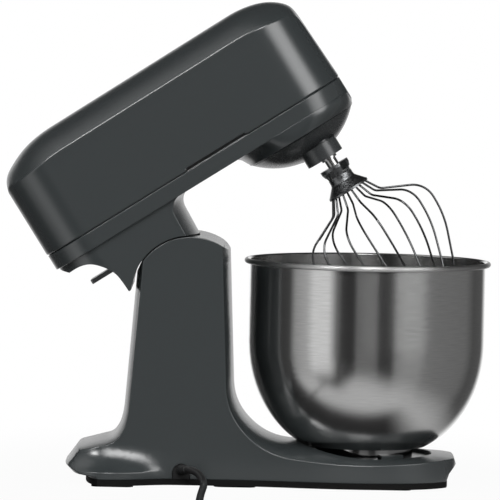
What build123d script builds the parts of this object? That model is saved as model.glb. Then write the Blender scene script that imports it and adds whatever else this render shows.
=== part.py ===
from build123d import *
import math
import os

os.makedirs("parts", exist_ok=True)

# Driving dimensions in millimetres and degrees. +X points from the column to the bowl, +Z up, and the
# floor is Z = 0. The head is modelled in its own frame: origin on the tilt hinge, x along the head to its
# nose, z up through the head. The rest pose has the head raised.
raised_tilt = 32.7
hinge_x = -51.4
hinge_z = 174.5
hinge_to_bowl = 161.5
bowl_x = hinge_x + hinge_to_bowl

wall = 3.0
fit_gap = 0.3
running_gap = 0.05
press_gap = 0.02

# Stand
foot_proud = 2.0
plate_thickness = 5.5
plate_top = foot_proud + plate_thickness
column_half = 65.0
rear_foot_half = 84.0
base_front_half = 76.0
base_rear_x = -164.4
base_front_x = 194.6
column_rear_x = -110.6
column_front_x = -10.7
column_rear_lean = 4.4
column_front_lean = 2.5
column_rear_root_z = 74.5
column_front_root_z = 93.0
column_top_radius = 53.3
rear_foot_z = 38.8
base_top_z = 40.0
base_nose_z = 28.0
lip_overhang_front = 7.7
lip_overhang_rear = 19.0
crown_span = 85.0
crown_round = 58.0
rear_crown = 14.0
front_crown = 18.0
base_crown = 22.5
foot_crown = 2.5
flare_low_z = 14.0
flare_high_z = 42.0
form_top_z = hinge_z + column_top_radius + 15.0
shelf_z = 96.0
shelf_thickness = 4.0

# Bowl and its seat
seat_radius = 62.3
seat_floor_z = 23.5
seat_thickness = 3.0
seat_top_z = seat_floor_z + seat_thickness
bowl_rim_radius = 113.3
bowl_rim_z = 206.8
rim_bead_radius = 2.4
bowl_radius = 108.4
bowl_depth_radius = 114.5
bowl_turn_z = 134.0
bowl_mid_radius = 94.0
bowl_mid_z = 73.5
bowl_bottom_z = 36.0
bowl_wall = 1.0
collar_radius = 44.7
collar_wall = 1.5
bayonet_count = 3
lug_reach = 4.0
lug_height = 2.0
lug_angle = 22.0
bowl_twist = 28.0

# Head
head_rear_x = -94.3
head_front_x = 219.0
head_half = 67.0
head_corner = 46.0
head_top_z = 198.0
head_crown = 22.0
split_z = 98.0
band_bottom_z = 82.6
band_step = 0.5
spindle_x = hinge_to_bowl
dome_radius = 53.0
dome_top_z = 68.8
dome_depth = 22.8
collar_low_z = 69.2
collar_low_radius = 54.0
collar_band_radius = 58.0
collar_band_z = 76.4
reveal_height = 0.8
reveal_depth = 1.2
neck_half = 63.5
neck_front_x = 36.0
neck_gap = 1.0
neck_crown = 10.0

# Hinge
hinge_pin_radius = 6.0
bush_radius = 9.0
lug_inner_y = 16.0
lug_outer_y = 24.0
lug_disc_radius = 17.0
lug_stem_angle = 95.0
lug_stem_spread = 10.0
cheek_inner_y = 27.0
cheek_thickness = 4.0

# Release lever
lever_z = 55.6
lever_thickness = 4.2
lever_tip_x = -73.3
lever_width = 30.0
lever_pivot_x = -20.0
lever_pivot_z = 62.5
lever_pin_radius = 2.5

# Drive train
motor_x = -22.0
motor_radius = 40.0
armature_radius = 18.0
motor_low_z = 104.0
motor_high_z = 146.0
motor_shaft_radius = 4.0
belt_z = 160.0
belt_width = 9.0
belt_thickness = 2.0
motor_pulley_radius = 16.0
driven_pulley_radius = 40.0
gear_module = 1.25
pinion_teeth = 15
wheel_teeth = 45
gear_centres = gear_module * (pinion_teeth + wheel_teeth) / 2
planet_module = 1.5
planet_teeth = 16
ring_teeth = 52
planet_offset = planet_module * (ring_teeth - planet_teeth) / 2
pressure_angle = 25.0
tooth_share = 0.44
spindle_radius = 7.0
layshaft_radius = 4.0

# Tool
tool_forward = 10.5
tool_angle = -math.degrees(math.acos(tool_forward / planet_offset))
tool_x = spindle_x + planet_offset * math.cos(math.radians(tool_angle))
tool_y = planet_offset * math.sin(math.radians(tool_angle))
tool_shaft_radius = 5.5
boss_radius = 18.0
boss_low_z = 40.4
boss_high_z = 49.5
hub_top_z = 31.2
hub_bottom_z = 4.3
hub_top_radius = 14.2
hub_waist_radius = 11.7
hub_bottom_radius = 20.0
cross_pin_radius = 1.5
cross_pin_z = 22.5
whisk_twist = 50.0
wire_radius = 1.0
whisk_loops = 6
whisk_phase = 7.5
whisk_radius = 64.5
whisk_low_z = -131.0
wire_step = 2.3

# Speed dial, on the column's far side
dial_x = -62.0
dial_z = 118.0
dial_radius = 21.0
dial_height = 15.0
dial_stem_radius = 5.0

# Cord
cord_radius = 3.4
cord_exit_x = -57.0
cord_exit_z = 16.0
notch_width = 16.0
notch_top_z = 21.6
coil_x = 3.5
coil_y = -336.0
coil_radius = 42.0
coil_pitch = 7.5
coil_layer = 7.3
tie_thickness = 1.2

# The head's frame
lean = math.radians(raised_tilt)
hinge_point = Vector(hinge_x, 0, hinge_z)
head_forward = Vector(math.cos(lean), 0, math.sin(lean))
head_up = Vector(-math.sin(lean), 0, math.cos(lean))
head_plan = Plane(origin=hinge_point, x_dir=head_forward, z_dir=head_up)
head_side = Plane(origin=hinge_point, x_dir=head_forward, z_dir=(0, -1, 0))


def head_axis(x, y):
    return Axis(head_plan.from_local_coords(Vector(x, y, 0)), head_up)


def head_polar(reach, angle):
    turn = math.radians(angle)
    return (reach * math.cos(turn), reach * math.sin(turn))


def bend(y, span, depth):
    return depth * (y / span) ** 2


crown_sections = (-crown_span, -crown_round, 0, crown_round, crown_span)


def shoulder_drop(y, depth):
    share = y / crown_span
    return depth * (0.27 * share ** 2 + 0.73 * share ** 4)


def disc(plane, x, y, outer, inner=0.0):
    with BuildSketch(plane) as face:
        with Locations((x, y)):
            Circle(outer)
            if inner > 0:
                Circle(inner, mode=Mode.SUBTRACT)
    return face.sketch


def block(plane, x, y, length, width, corner=0.0):
    with BuildSketch(plane) as face:
        with Locations((x, y)):
            if corner > 0:
                RectangleRounded(length, width, corner)
            else:
                Rectangle(length, width)
    return face.sketch


def wedge(plane, x, y, reach, start, end):
    half = (end - start) / 2
    far = reach / math.cos(math.radians(half))
    corners = [(x, y)]
    for angle in (start, start + half, end):
        turn = math.radians(angle)
        corners.append((x + far * math.cos(turn), y + far * math.sin(turn)))
    with BuildSketch(plane) as face:
        with BuildLine():
            Polyline(*corners, close=True)
        make_face()
    return face.sketch


def save(builder, name):
    builder.part.label = name
    export_step(builder.part, f"parts/{name}.step")


# Stand form: a crowned side profile, cut to the plan outline and to the round hinge head
def stand_side(y, inset, floor):
    rear_sag = shoulder_drop(y, rear_crown) + inset
    front_sag = shoulder_drop(y, front_crown) + inset
    drop = shoulder_drop(y, base_crown)
    foot_z = rear_foot_z - shoulder_drop(y, foot_crown) - inset
    base_z = base_top_z - drop - inset
    nose_z = base_nose_z - 0.35 * drop - inset
    lip_z = base_nose_z - 6.4 - 0.25 * drop
    under_z = base_nose_z - 13.6 - 0.1 * drop + inset
    rear_tip = (base_rear_x + rear_sag, 17.6)
    rear_brow = (base_rear_x + 11 + rear_sag, foot_z - 6.1)
    rear_heel = (column_rear_x - 19.8 + rear_sag, foot_z)
    rear_bend = (column_rear_x - 5.9 + rear_sag, foot_z + 0.31 * (column_rear_root_z - foot_z))
    rear_root = (column_rear_x + rear_sag, column_rear_root_z)
    rear_run = math.tan(math.radians(column_rear_lean)) * (form_top_z - column_rear_root_z)
    rear_top = (column_rear_x + rear_run + rear_sag, form_top_z)
    front_run = math.tan(math.radians(column_front_lean)) * (form_top_z - column_front_root_z)
    front_top = (column_front_x - front_run - front_sag, form_top_z)
    front_root = (column_front_x - front_sag, column_front_root_z)
    front_bend = (column_front_x + 16.7 - 0.8 * front_sag, base_z + 0.31 * (column_front_root_z - base_z))
    front_toe = (column_front_x + 50.7, base_z)
    nose = (base_front_x - 2 - front_sag, nose_z)
    lip = (base_front_x - front_sag, lip_z)
    lip_under = (base_front_x - 5.5 - front_sag, under_z)
    skirt_front = (base_front_x - lip_overhang_front - front_sag, floor)
    skirt_rear = (base_rear_x + lip_overhang_rear + rear_sag, floor)
    rear_under = (base_rear_x + lip_overhang_rear - 1 + rear_sag, plate_top + 2 + inset)
    rear_lip = (base_rear_x + 6 + rear_sag, plate_top + 4 + inset)
    with BuildSketch(Plane.XZ.offset(-y)) as face:
        with BuildLine():
            Polyline(rear_tip, rear_brow, rear_heel)
            Spline(rear_heel, rear_bend, rear_root, tangents=((1, 0.2), (0.08, 1)))
            Polyline(rear_root, rear_top, front_top, front_root)
            Spline(front_root, front_bend, front_toe, tangents=((0.05, -1), (1, -0.12)))
            Polyline(front_toe, nose, lip, lip_under, skirt_front, skirt_rear, rear_under, rear_lip, rear_tip)
        make_face()
    return face.sketch


def stand_outline(rear_half, inset, z):
    rear_x = base_rear_x - 1 + inset
    front_x = base_front_x + 1 - inset
    corner = 40.0 - inset
    rear_y = rear_half - inset
    column_y = column_half - inset
    front_y = base_front_half - inset
    widest_x = bowl_x - 10
    with BuildSketch(Plane.XY.offset(z)) as face:
        with BuildLine():
            Line((rear_x, 0), (rear_x, rear_y - corner))
            RadiusArc((rear_x, rear_y - corner), (rear_x + corner, rear_y), corner)
            Spline((rear_x + corner, rear_y), (hinge_x - 8, column_y), tangents=((1, 0), (1, 0)))
            Line((hinge_x - 8, column_y), (column_front_x - 5, column_y))
            Spline((column_front_x - 5, column_y), (widest_x, front_y), tangents=((1, 0), (1, 0)))
            Spline((widest_x, front_y), (front_x, 0), tangents=((1.4, 0), (0, -1.2)))
            mirror(about=Plane.XZ)
        make_face()
    return face.sketch


def stand_form(inset, floor):
    flare_half = column_half + 0.3 * (rear_foot_half - column_half)
    with BuildPart() as outline:
        extrude(stand_outline(rear_foot_half, inset, floor), amount=flare_low_z - floor)
        add(stand_outline(rear_foot_half, inset, flare_low_z))
        add(stand_outline(flare_half, inset, flare_low_z + 10))
        add(stand_outline(column_half, inset, flare_high_z))
        loft()
        extrude(stand_outline(column_half, inset, flare_high_z), amount=form_top_z - flare_high_z)
    with BuildPart() as round_top:
        with BuildSketch(Plane.XZ):
            with Locations((hinge_x, hinge_z)):
                Circle(column_top_radius - inset)
            with Locations((hinge_x, hinge_z / 2)):
                Rectangle(4 * (base_front_x - base_rear_x), hinge_z)
        extrude(amount=2 * rear_foot_half, both=True)
    with BuildPart() as form:
        for y in crown_sections:
            add(stand_side(y, inset, floor))
        loft()
        add(outline.part, mode=Mode.INTERSECT)
        add(round_top.part, mode=Mode.INTERSECT)
    return form.part


post_spots = [(-122, 48), (-122, -48), (20, 44), (20, -44), (165, 34), (165, -34)]
post_radius = 6.0
screw_radius = 2.0
screw_head_radius = 4.0
screw_head_height = 2.5

with BuildPart() as inner_webs:
    extrude(block(Plane.XY.offset(shelf_z), hinge_x, 0, 160, 180), amount=shelf_thickness)
    extrude(disc(Plane.XY.offset(seat_floor_z - wall), bowl_x, 0, seat_radius + wall), amount=20)
    for post_x, post_y in post_spots:
        extrude(disc(Plane.XY.offset(plate_top), post_x, post_y, post_radius), amount=40)
    add(stand_form(wall / 2, plate_top), mode=Mode.INTERSECT)

slot_start = lug_stem_angle - lug_stem_spread - 2
slot_end = lug_stem_angle + lug_stem_spread + raised_tilt + 2

with BuildPart() as stand_housing:
    add(stand_form(0.0, plate_top))
    add(stand_form(wall, plate_top - 1), mode=Mode.SUBTRACT)
    add(inner_webs.part)
    extrude(disc(Plane.XY.offset(seat_floor_z), bowl_x, 0, seat_radius), amount=30, mode=Mode.SUBTRACT)
    for post_x, post_y in post_spots:
        pilot = disc(Plane.XY.offset(plate_top), post_x, post_y, screw_radius + press_gap)
        extrude(pilot, amount=14, mode=Mode.SUBTRACT)
    slot = wedge(Plane.XZ, hinge_x, hinge_z, column_top_radius + 5, slot_start, slot_end)
    extrude(slot, amount=cheek_inner_y - 1, both=True, mode=Mode.SUBTRACT)
    notch_z = notch_top_z - notch_width / 2
    near_wall = Plane.XZ.offset(column_half - 2 * wall)
    extrude(disc(near_wall, cord_exit_x, notch_z, notch_width / 2), amount=4 * wall, mode=Mode.SUBTRACT)
    notch_low = block(near_wall, cord_exit_x, notch_z - 20, notch_width, 40)
    extrude(notch_low, amount=4 * wall, mode=Mode.SUBTRACT)
    far_wall = Plane.XZ.offset(-column_half + 2 * wall)
    stem_hole = disc(far_wall, dial_x, dial_z, dial_stem_radius + fit_gap)
    extrude(stem_hole, amount=-4 * wall, mode=Mode.SUBTRACT)
    for cable_x in (hinge_x - 30, hinge_x + 30):
        cable_hole = disc(Plane.XY.offset(shelf_z), cable_x, 0, 7.0)
        extrude(cable_hole, amount=shelf_thickness, mode=Mode.SUBTRACT)
save(stand_housing, "stand_housing")

# Base plate: a black moulding that closes the bottom and carries the feet
foot_spots = [(-119.4, 66), (-8.4, 50), (133.6, 50)]
foot_length = 38.0
foot_width = 13.0
foot_seat = 1.0
board_x = hinge_x - 2
board_z = 20.0
board_length = 60.0
board_width = 56.0


def plate_side(y):
    front = base_front_x - lip_overhang_front - shoulder_drop(y, front_crown)
    rear = base_rear_x + lip_overhang_rear + shoulder_drop(y, rear_crown)
    return block(Plane.XZ.offset(-y), (front + rear) / 2, foot_proud + plate_thickness / 2, front - rear,
                 plate_thickness)


with BuildPart() as plate_outline:
    extrude(stand_outline(rear_foot_half, 0.4, foot_proud), amount=plate_thickness)

with BuildPart() as base_plate:
    for y in crown_sections:
        add(plate_side(y))
    loft()
    add(plate_outline.part, mode=Mode.INTERSECT)
    for spot_x, spot_y in foot_spots:
        for side in (-1, 1):
            with BuildSketch(Plane.XY.offset(foot_proud)):
                with Locations((spot_x, side * spot_y)):
                    SlotOverall(foot_length + 0.2, foot_width + 0.2)
            extrude(amount=foot_seat, mode=Mode.SUBTRACT)
    for post_x, post_y in post_spots:
        head_seat = disc(Plane.XY.offset(foot_proud), post_x, post_y, screw_head_radius + 0.2)
        extrude(head_seat, amount=screw_head_height, mode=Mode.SUBTRACT)
        shank_hole = disc(Plane.XY.offset(foot_proud), post_x, post_y, screw_radius + 0.1)
        extrude(shank_hole, amount=plate_thickness, mode=Mode.SUBTRACT)
    for corner_x in (-1, 1):
        for corner_y in (-1, 1):
            stud = disc(Plane.XY.offset(plate_top), board_x + corner_x * (board_length / 2 - 4),
                        corner_y * (board_width / 2 - 4), 3.0)
            extrude(stud, amount=board_z - plate_top)
save(base_plate, "base_plate")

with BuildPart() as rubber_feet:
    for spot_x, spot_y in foot_spots:
        for side in (-1, 1):
            with BuildSketch(Plane.XY):
                with Locations((spot_x, side * spot_y)):
                    SlotOverall(foot_length, foot_width)
            extrude(amount=foot_proud + foot_seat)
save(rubber_feet, "rubber_feet")

with BuildPart() as base_screws:
    for post_x, post_y in post_spots:
        extrude(disc(Plane.XY.offset(foot_proud + 0.5), post_x, post_y, screw_head_radius),
                amount=screw_head_height - 0.5)
        extrude(disc(Plane.XY.offset(foot_proud + 0.5), post_x, post_y, screw_radius), amount=plate_thickness + 12)
save(base_screws, "base_screws")

with BuildPart() as control_board:
    extrude(block(Plane.XY.offset(board_z), board_x, 0, board_length, board_width, 3), amount=1.6)
    for chip_x, chip_y, chip_length, chip_width, chip_height in (
        (-16, 10, 16, 16, 14), (12, -12, 22, 14, 9), (14, 14, 10, 10, 18), (-14, -14, 12, 8, 6)):
        extrude(block(Plane.XY.offset(board_z + 1.6), board_x + chip_x, chip_y, chip_length, chip_width),
                amount=chip_height)
save(control_board, "control_board")

# Bowl seat: a plate in the base's round recess, with hooks that hold the bowl's lugs
hook_wall = 2.5
hook_low = seat_top_z + lug_height + 0.6
hook_angle = lug_angle + 4

with BuildPart() as bowl_seat:
    extrude(disc(Plane.XY.offset(seat_floor_z), bowl_x, 0, seat_radius - fit_gap), amount=seat_thickness)
    for turn in range(bayonet_count):
        middle = turn * 360 / bayonet_count + 60
        hook_reach = collar_radius + lug_reach + fit_gap + hook_wall
        with BuildSketch(Plane.XY.offset(seat_top_z)) as hook_post:
            with Locations((bowl_x, 0)):
                Circle(hook_reach)
                Circle(hook_reach - hook_wall, mode=Mode.SUBTRACT)
            add(wedge(Plane.XY, bowl_x, 0, 80, middle - hook_angle / 2, middle + hook_angle / 2),
                mode=Mode.INTERSECT)
        extrude(hook_post.sketch, amount=hook_low - seat_top_z + 1.6)
        with BuildSketch(Plane.XY.offset(hook_low)) as hook_roof:
            with Locations((bowl_x, 0)):
                Circle(hook_reach)
                Circle(collar_radius + 1, mode=Mode.SUBTRACT)
            add(wedge(Plane.XY, bowl_x, 0, 80, middle - hook_angle / 2, middle + hook_angle / 2),
                mode=Mode.INTERSECT)
        extrude(hook_roof.sketch, amount=1.6)
    with Locations(Plane.XY.offset(seat_top_z)):
        with Locations((bowl_x, 0)):
            with PolarLocations(24, 4, start_angle=45):
                CounterSinkHole(screw_radius + 0.1, screw_head_radius + 0.1, depth=seat_thickness,
                                counter_sink_angle=90)
save(bowl_seat, "bowl_seat")

with BuildPart() as seat_screws:
    for turn in range(4):
        angle = math.radians(45 + turn * 90)
        screw_x = bowl_x + 24 * math.cos(angle)
        screw_y = 24 * math.sin(angle)
        extrude(disc(Plane.XY.offset(seat_floor_z), screw_x, screw_y, screw_radius), amount=seat_thickness - 0.6)
        with BuildSketch(Plane.XY.offset(seat_top_z - 2.2)):
            with Locations((screw_x, screw_y)):
                Circle(screw_head_radius - 2.2)
        with BuildSketch(Plane.XY.offset(seat_top_z - 0.2)):
            with Locations((screw_x, screw_y)):
                Circle(screw_head_radius - 0.2)
        loft()
save(seat_screws, "seat_screws")

# Bowl: spun sheet with a rolled rim, on a collar with three lugs

def bowl_radius_at(z, inset):
    rise = (bowl_turn_z - z) / (bowl_depth_radius - inset)
    return (bowl_radius - inset) * math.sqrt(1 - rise * rise)


bead_x = bowl_rim_radius - rim_bead_radius
bead_z = bowl_rim_z - rim_bead_radius
with BuildPart() as bowl:
    with BuildSketch(Plane.XZ):
        with BuildLine():
            outer_low = (bowl_x + bowl_radius_at(bowl_bottom_z, 0), bowl_bottom_z)
            inner_low_z = bowl_bottom_z + bowl_wall
            inner_low = (bowl_x + bowl_radius_at(inner_low_z, bowl_wall), inner_low_z)
            outer_turn = (bowl_x + bowl_radius, bowl_turn_z)
            inner_turn = (bowl_x + bowl_radius - bowl_wall, bowl_turn_z)
            outer_mid = (bowl_x + bowl_mid_radius, bowl_mid_z)
            inner_mid = (bowl_x + bowl_mid_radius - 1.15 * bowl_wall, bowl_mid_z)
            Line((bowl_x, bowl_bottom_z), outer_low)
            Spline(outer_low, outer_mid, outer_turn, tangents=((1, 0.52), (0, 1)))
            Line(outer_turn, (outer_turn[0], bead_z))
            Line((outer_turn[0], bead_z), (inner_turn[0], bead_z))
            Line((inner_turn[0], bead_z), inner_turn)
            Spline(inner_turn, inner_mid, inner_low, tangents=((0, -1), (-1, -0.52)))
            Line(inner_low, (bowl_x, inner_low_z))
            Line((bowl_x, inner_low_z), (bowl_x, bowl_bottom_z))
        make_face()
    revolve(axis=Axis((bowl_x, 0, 0), (0, 0, 1)))
    with BuildSketch(Plane.XZ):
        with Locations((bowl_x + bead_x, bead_z)):
            Circle(rim_bead_radius)
        with Locations((bowl_x + (bowl_radius - bowl_wall + bead_x) / 2, bead_z)):
            Rectangle(bead_x - bowl_radius + bowl_wall, 2 * bowl_wall)
    revolve(axis=Axis((bowl_x, 0, 0), (0, 0, 1)))
save(bowl, "bowl")

with BuildPart() as bowl_collar:
    extrude(disc(Plane.XY.offset(seat_top_z), bowl_x, 0, collar_radius, collar_radius - collar_wall),
            amount=bowl_bottom_z - seat_top_z)
    extrude(disc(Plane.XY.offset(bowl_bottom_z - 1.5), bowl_x, 0, collar_radius, collar_radius - 8), amount=1.5)
    for turn in range(bayonet_count):
        middle = turn * 360 / bayonet_count + 60
        with BuildSketch(Plane.XY.offset(seat_top_z)) as lug:
            with Locations((bowl_x, 0)):
                Circle(collar_radius + lug_reach)
                Circle(collar_radius - collar_wall, mode=Mode.SUBTRACT)
            add(wedge(Plane.XY, bowl_x, 0, 80, middle - lug_angle / 2, middle + lug_angle / 2),
                mode=Mode.INTERSECT)
        extrude(lug.sketch, amount=lug_height)
save(bowl_collar, "bowl_collar")

# Hinge: a steel bracket on the column's shelf, the pin, and the latch sector between its cheeks
bracket_z = shelf_z + shelf_thickness
cheek_outer_y = cheek_inner_y + cheek_thickness
bracket_length = 64.0
cheek_radius = 18.0
bracket_screw_spots = [(-24, 18), (-24, -18), (24, 18), (24, -18)]


def cheek_face(y, width_low):
    with BuildSketch(Plane.XZ.offset(-y)) as face:
        with Locations((hinge_x, hinge_z)):
            Circle(cheek_radius)
        with BuildLine():
            Polyline((hinge_x - width_low / 2, bracket_z), (hinge_x - cheek_radius, hinge_z),
                     (hinge_x + cheek_radius, hinge_z), (hinge_x + width_low / 2, bracket_z), close=True)
        make_face()
    return face.sketch


with BuildPart() as hinge_bracket:
    extrude(block(Plane.XY.offset(bracket_z), hinge_x, 0, bracket_length, 2 * cheek_outer_y), amount=cheek_thickness)
    for low_y in (-cheek_outer_y, cheek_inner_y):
        extrude(cheek_face(low_y, bracket_length), amount=-cheek_thickness)
    pin_bore = disc(Plane.XZ.offset(-2 * cheek_outer_y), hinge_x, hinge_z, hinge_pin_radius + press_gap)
    extrude(pin_bore, amount=4 * cheek_outer_y, mode=Mode.SUBTRACT)
    for spot_x, spot_y in bracket_screw_spots:
        shank_hole = disc(Plane.XY.offset(bracket_z), hinge_x + spot_x, spot_y, screw_radius + 0.1)
        extrude(shank_hole, amount=cheek_thickness, mode=Mode.SUBTRACT)
save(hinge_bracket, "hinge_bracket")

with BuildPart() as bracket_screws:
    for spot_x, spot_y in bracket_screw_spots:
        screw_low = Plane.XY.offset(bracket_z)
        extrude(disc(screw_low, hinge_x + spot_x, spot_y, screw_radius), amount=cheek_thickness + 1)
        screw_seat = Plane.XY.offset(bracket_z + cheek_thickness)
        extrude(disc(screw_seat, hinge_x + spot_x, spot_y, screw_head_radius), amount=screw_head_height)
save(bracket_screws, "bracket_screws")

with BuildPart() as hinge_pin:
    pin_half = cheek_outer_y + 4
    extrude(disc(Plane.XZ.offset(-pin_half), hinge_x, hinge_z, hinge_pin_radius), amount=2 * pin_half)
    extrude(disc(Plane.XZ.offset(cheek_outer_y), hinge_x, hinge_z, hinge_pin_radius + 3), amount=3)
save(hinge_pin, "hinge_pin")

# The sector stands on the bracket and carries a stop for each end of the tilt
sector_low_y = -13.0
sector_thickness = 4.0
stop_reach = 47.0
stop_radius = 2.5
tooth_angle = 99.0
tooth_reach = stop_reach + stop_radius + fit_gap
tooth_half_width = 3.0
stop_swing = math.degrees((tooth_half_width + stop_radius + 0.4) / stop_reach)
stop_angles = (tooth_angle + stop_swing, tooth_angle + raised_tilt - stop_swing)

with BuildPart() as latch_sector:
    sector_plane = Plane.XZ.offset(-sector_low_y)
    with BuildSketch(sector_plane) as sector_face:
        with Locations((hinge_x, hinge_z)):
            Circle(cheek_radius - 2)
        with BuildLine():
            Polyline((hinge_x - 14, bracket_z + cheek_thickness), (hinge_x - 14, hinge_z), (hinge_x + 14, hinge_z),
                     (hinge_x + 14, bracket_z + cheek_thickness), close=True)
        make_face()
        for angle in stop_angles:
            turn = math.radians(angle)
            with BuildLine():
                reach = stop_reach + stop_radius
                side_x = 6 * math.sin(turn)
                side_z = -6 * math.cos(turn)
                far_x = hinge_x + reach * math.cos(turn)
                far_z = hinge_z + reach * math.sin(turn)
                Polyline((hinge_x + side_x, hinge_z + side_z), (far_x + side_x / 2, far_z + side_z / 2),
                         (far_x - side_x / 2, far_z - side_z / 2), (hinge_x - side_x, hinge_z - side_z), close=True)
            make_face()
        with Locations((hinge_x, hinge_z)):
            Circle(hinge_pin_radius + press_gap, mode=Mode.SUBTRACT)
    extrude(sector_face.sketch, amount=-sector_thickness)
    for angle in stop_angles:
        turn = math.radians(angle)
        stop = disc(sector_plane, hinge_x + stop_reach * math.cos(turn), hinge_z + stop_reach * math.sin(turn),
                    stop_radius)
        extrude(stop, amount=-sector_thickness - 15)
save(latch_sector, "latch_sector")

# Speed control on the far side of the column
switch_depth = 16.0
with BuildPart() as speed_switch:
    switch_plane = Plane.XZ.offset(-(column_half - wall))
    extrude(block(switch_plane, dial_x, dial_z, 36, 30, 2), amount=switch_depth)
    extrude(disc(switch_plane, dial_x, dial_z, dial_stem_radius + running_gap), amount=switch_depth - 3,
            mode=Mode.SUBTRACT)
    for tag_z in (-9, 0, 9):
        with Locations((dial_x + 12, column_half - wall - switch_depth - 4, dial_z + tag_z)):
            Box(4, 8, 1)
save(speed_switch, "speed_switch")

with BuildPart() as speed_dial:
    dial_plane = Plane.XZ.offset(-(column_half + 0.6))
    extrude(disc(dial_plane, dial_x, dial_z, dial_radius), amount=-dial_height, taper=4)
    fillet(speed_dial.faces().sort_by(Axis.Y)[-1].edges(), radius=2)
    extrude(disc(dial_plane, dial_x, dial_z, dial_stem_radius), amount=wall + switch_depth - 5)
    mark_plane = Plane.XZ.offset(-(column_half + 0.6 + dial_height))
    extrude(block(mark_plane, dial_x, dial_z + dial_radius * 0.55, 2, dial_radius * 0.6), amount=0.8,
            mode=Mode.SUBTRACT)
save(speed_dial, "speed_dial")


# Head form: a crowned side profile cut to a rounded plan outline
def head_outline(z, inset):
    length = head_front_x - head_rear_x
    return block(head_plan.offset(z), (head_front_x + head_rear_x) / 2, 0, length - 2 * inset,
                 2 * (head_half - inset), head_corner - inset)


def head_profile(y, inset, low):
    drop = bend(y, head_half, head_crown)
    top = head_top_z - drop - inset
    rear = head_rear_x + inset
    front = head_front_x - inset - bend(y, head_half, 3.0)
    with BuildSketch(head_side.offset(-y)) as face:
        with BuildLine():
            Line((rear, low), (rear, top - 34))
            rear_end = (rear + 62, top - 1.4)
            Spline((rear, top - 34), (rear + 15, top - 13), rear_end, tangents=((0, 1), (1, 0.03)))
            nose_start = (front - 59, top)
            nose_end = (front - 2.6, top - 36)
            Line(rear_end, nose_start)
            Spline(nose_start, (front - 35.7, top - 2.6), (front - 18.3, top - 9.4), (front - 6.6, top - 19.6),
                   nose_end, tangents=((1, 0), (0.07, -1)))
            Line(nose_end, (front, low))
            Line((front, low), (rear, low))
        make_face()
    return face.sketch


def head_form(inset, low):
    with BuildPart() as outline:
        extrude(head_outline(low, inset), amount=head_top_z + 10 - low)
    with BuildPart() as form:
        for y in (-head_half, 0, head_half):
            add(head_profile(y, inset, low))
        loft()
        add(outline.part, mode=Mode.INTERSECT)
    return form.part


vent_start = 57.0
vent_end = 119.0
vent_height = 2.2
head_post_spots = [(-66, 40), (-66, -40), (60, 54), (60, -54), (205, 38), (205, -38)]

with BuildPart() as upper_posts:
    for post_x, post_y in head_post_spots:
        extrude(disc(head_plan.offset(split_z), post_x, post_y, 5.0), amount=100)
    add(head_form(wall / 2, split_z), mode=Mode.INTERSECT)

with BuildPart() as head_upper_shell:
    add(head_form(0.0, split_z))
    add(head_form(wall, split_z - 1), mode=Mode.SUBTRACT)
    add(upper_posts.part)
    for post_x, post_y in head_post_spots:
        pilot = disc(head_plan.offset(split_z), post_x, post_y, screw_radius + press_gap)
        extrude(pilot, amount=14, mode=Mode.SUBTRACT)
    for side in (-1, 1):
        vent = block(head_plan.offset(split_z), (vent_start + vent_end) / 2, side * head_half,
                     vent_end - vent_start, 4 * wall)
        extrude(vent, amount=vent_height, mode=Mode.SUBTRACT)
save(head_upper_shell, "head_upper_shell")


# Lower shell: a band under the upper shell, a collar over the dome and a neck that wraps the column
def neck_profile(y, inset):
    sag = bend(y, neck_half, neck_crown) + inset
    top = band_bottom_z + 6
    front_low = (neck_front_x - 2 - sag, 30)
    front_high = (neck_front_x - sag, band_bottom_z - 14)
    front_root = (neck_front_x + 16 - sag, band_bottom_z + 1)
    tail = (-45.6 + 0.7 * inset, 32.6 + inset)
    heel = (-50.6 + inset, 58.6)
    arch = (-61 + 0.7 * inset, 70.5 + 0.7 * inset)
    rear_low = (-84 + inset, 74.5 + inset)
    rear_high = (head_rear_x + 3.5 + inset, band_bottom_z - 2 + 0.3 * inset)
    with BuildSketch(head_side.offset(-y)) as face:
        with BuildLine():
            Line(front_low, front_high)
            Spline(front_high, front_root, tangents=((0.05, 1), (1, 0.15)))
            Polyline(front_root, (front_root[0], top), (rear_high[0], top), rear_high, rear_low)
            Spline(rear_low, arch, heel, tail, tangents=((1, 0.1), (0.04, -1)))
            Line(tail, front_low)
        make_face()
    return face.sketch


def neck_form(inset, top):
    with BuildPart() as outline:
        extrude(head_outline(20, 3.5 + inset), amount=top - 20)
    with BuildPart() as form:
        for y in (-neck_half, 0, neck_half):
            add(neck_profile(y, inset))
        loft()
        add(outline.part, mode=Mode.INTERSECT)
        hinge_round = disc(Plane.XZ.offset(-head_half), hinge_x, hinge_z, column_top_radius + neck_gap + inset)
        extrude(hinge_round, amount=2 * head_half, mode=Mode.SUBTRACT)
    return form.part


neck_radius = column_top_radius + neck_gap
floor_top_z = band_bottom_z + wall
bearing_radius = 15.0
bearing_height = 12.0

with BuildPart() as dome_collar:
    with BuildSketch(head_side):
        with BuildLine():
            blend_top = band_bottom_z + 1
            ring_side = (spindle_x + collar_low_radius, collar_low_z)
            ring_high = (spindle_x + collar_band_radius, collar_band_z)
            skirt = (spindle_x + collar_band_radius + 13, blend_top)
            Polyline((spindle_x, collar_low_z), ring_side, ring_high)
            Spline(ring_high, skirt, tangents=((0.45, 1), (1, 0.2)))
            Polyline(skirt, (spindle_x, blend_top), (spindle_x, collar_low_z))
        make_face()
    revolve(axis=head_axis(spindle_x, 0))
    collar_limit = head_outline(collar_low_z - 5, band_step)
    extrude(collar_limit, amount=30, mode=Mode.INTERSECT)

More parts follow.
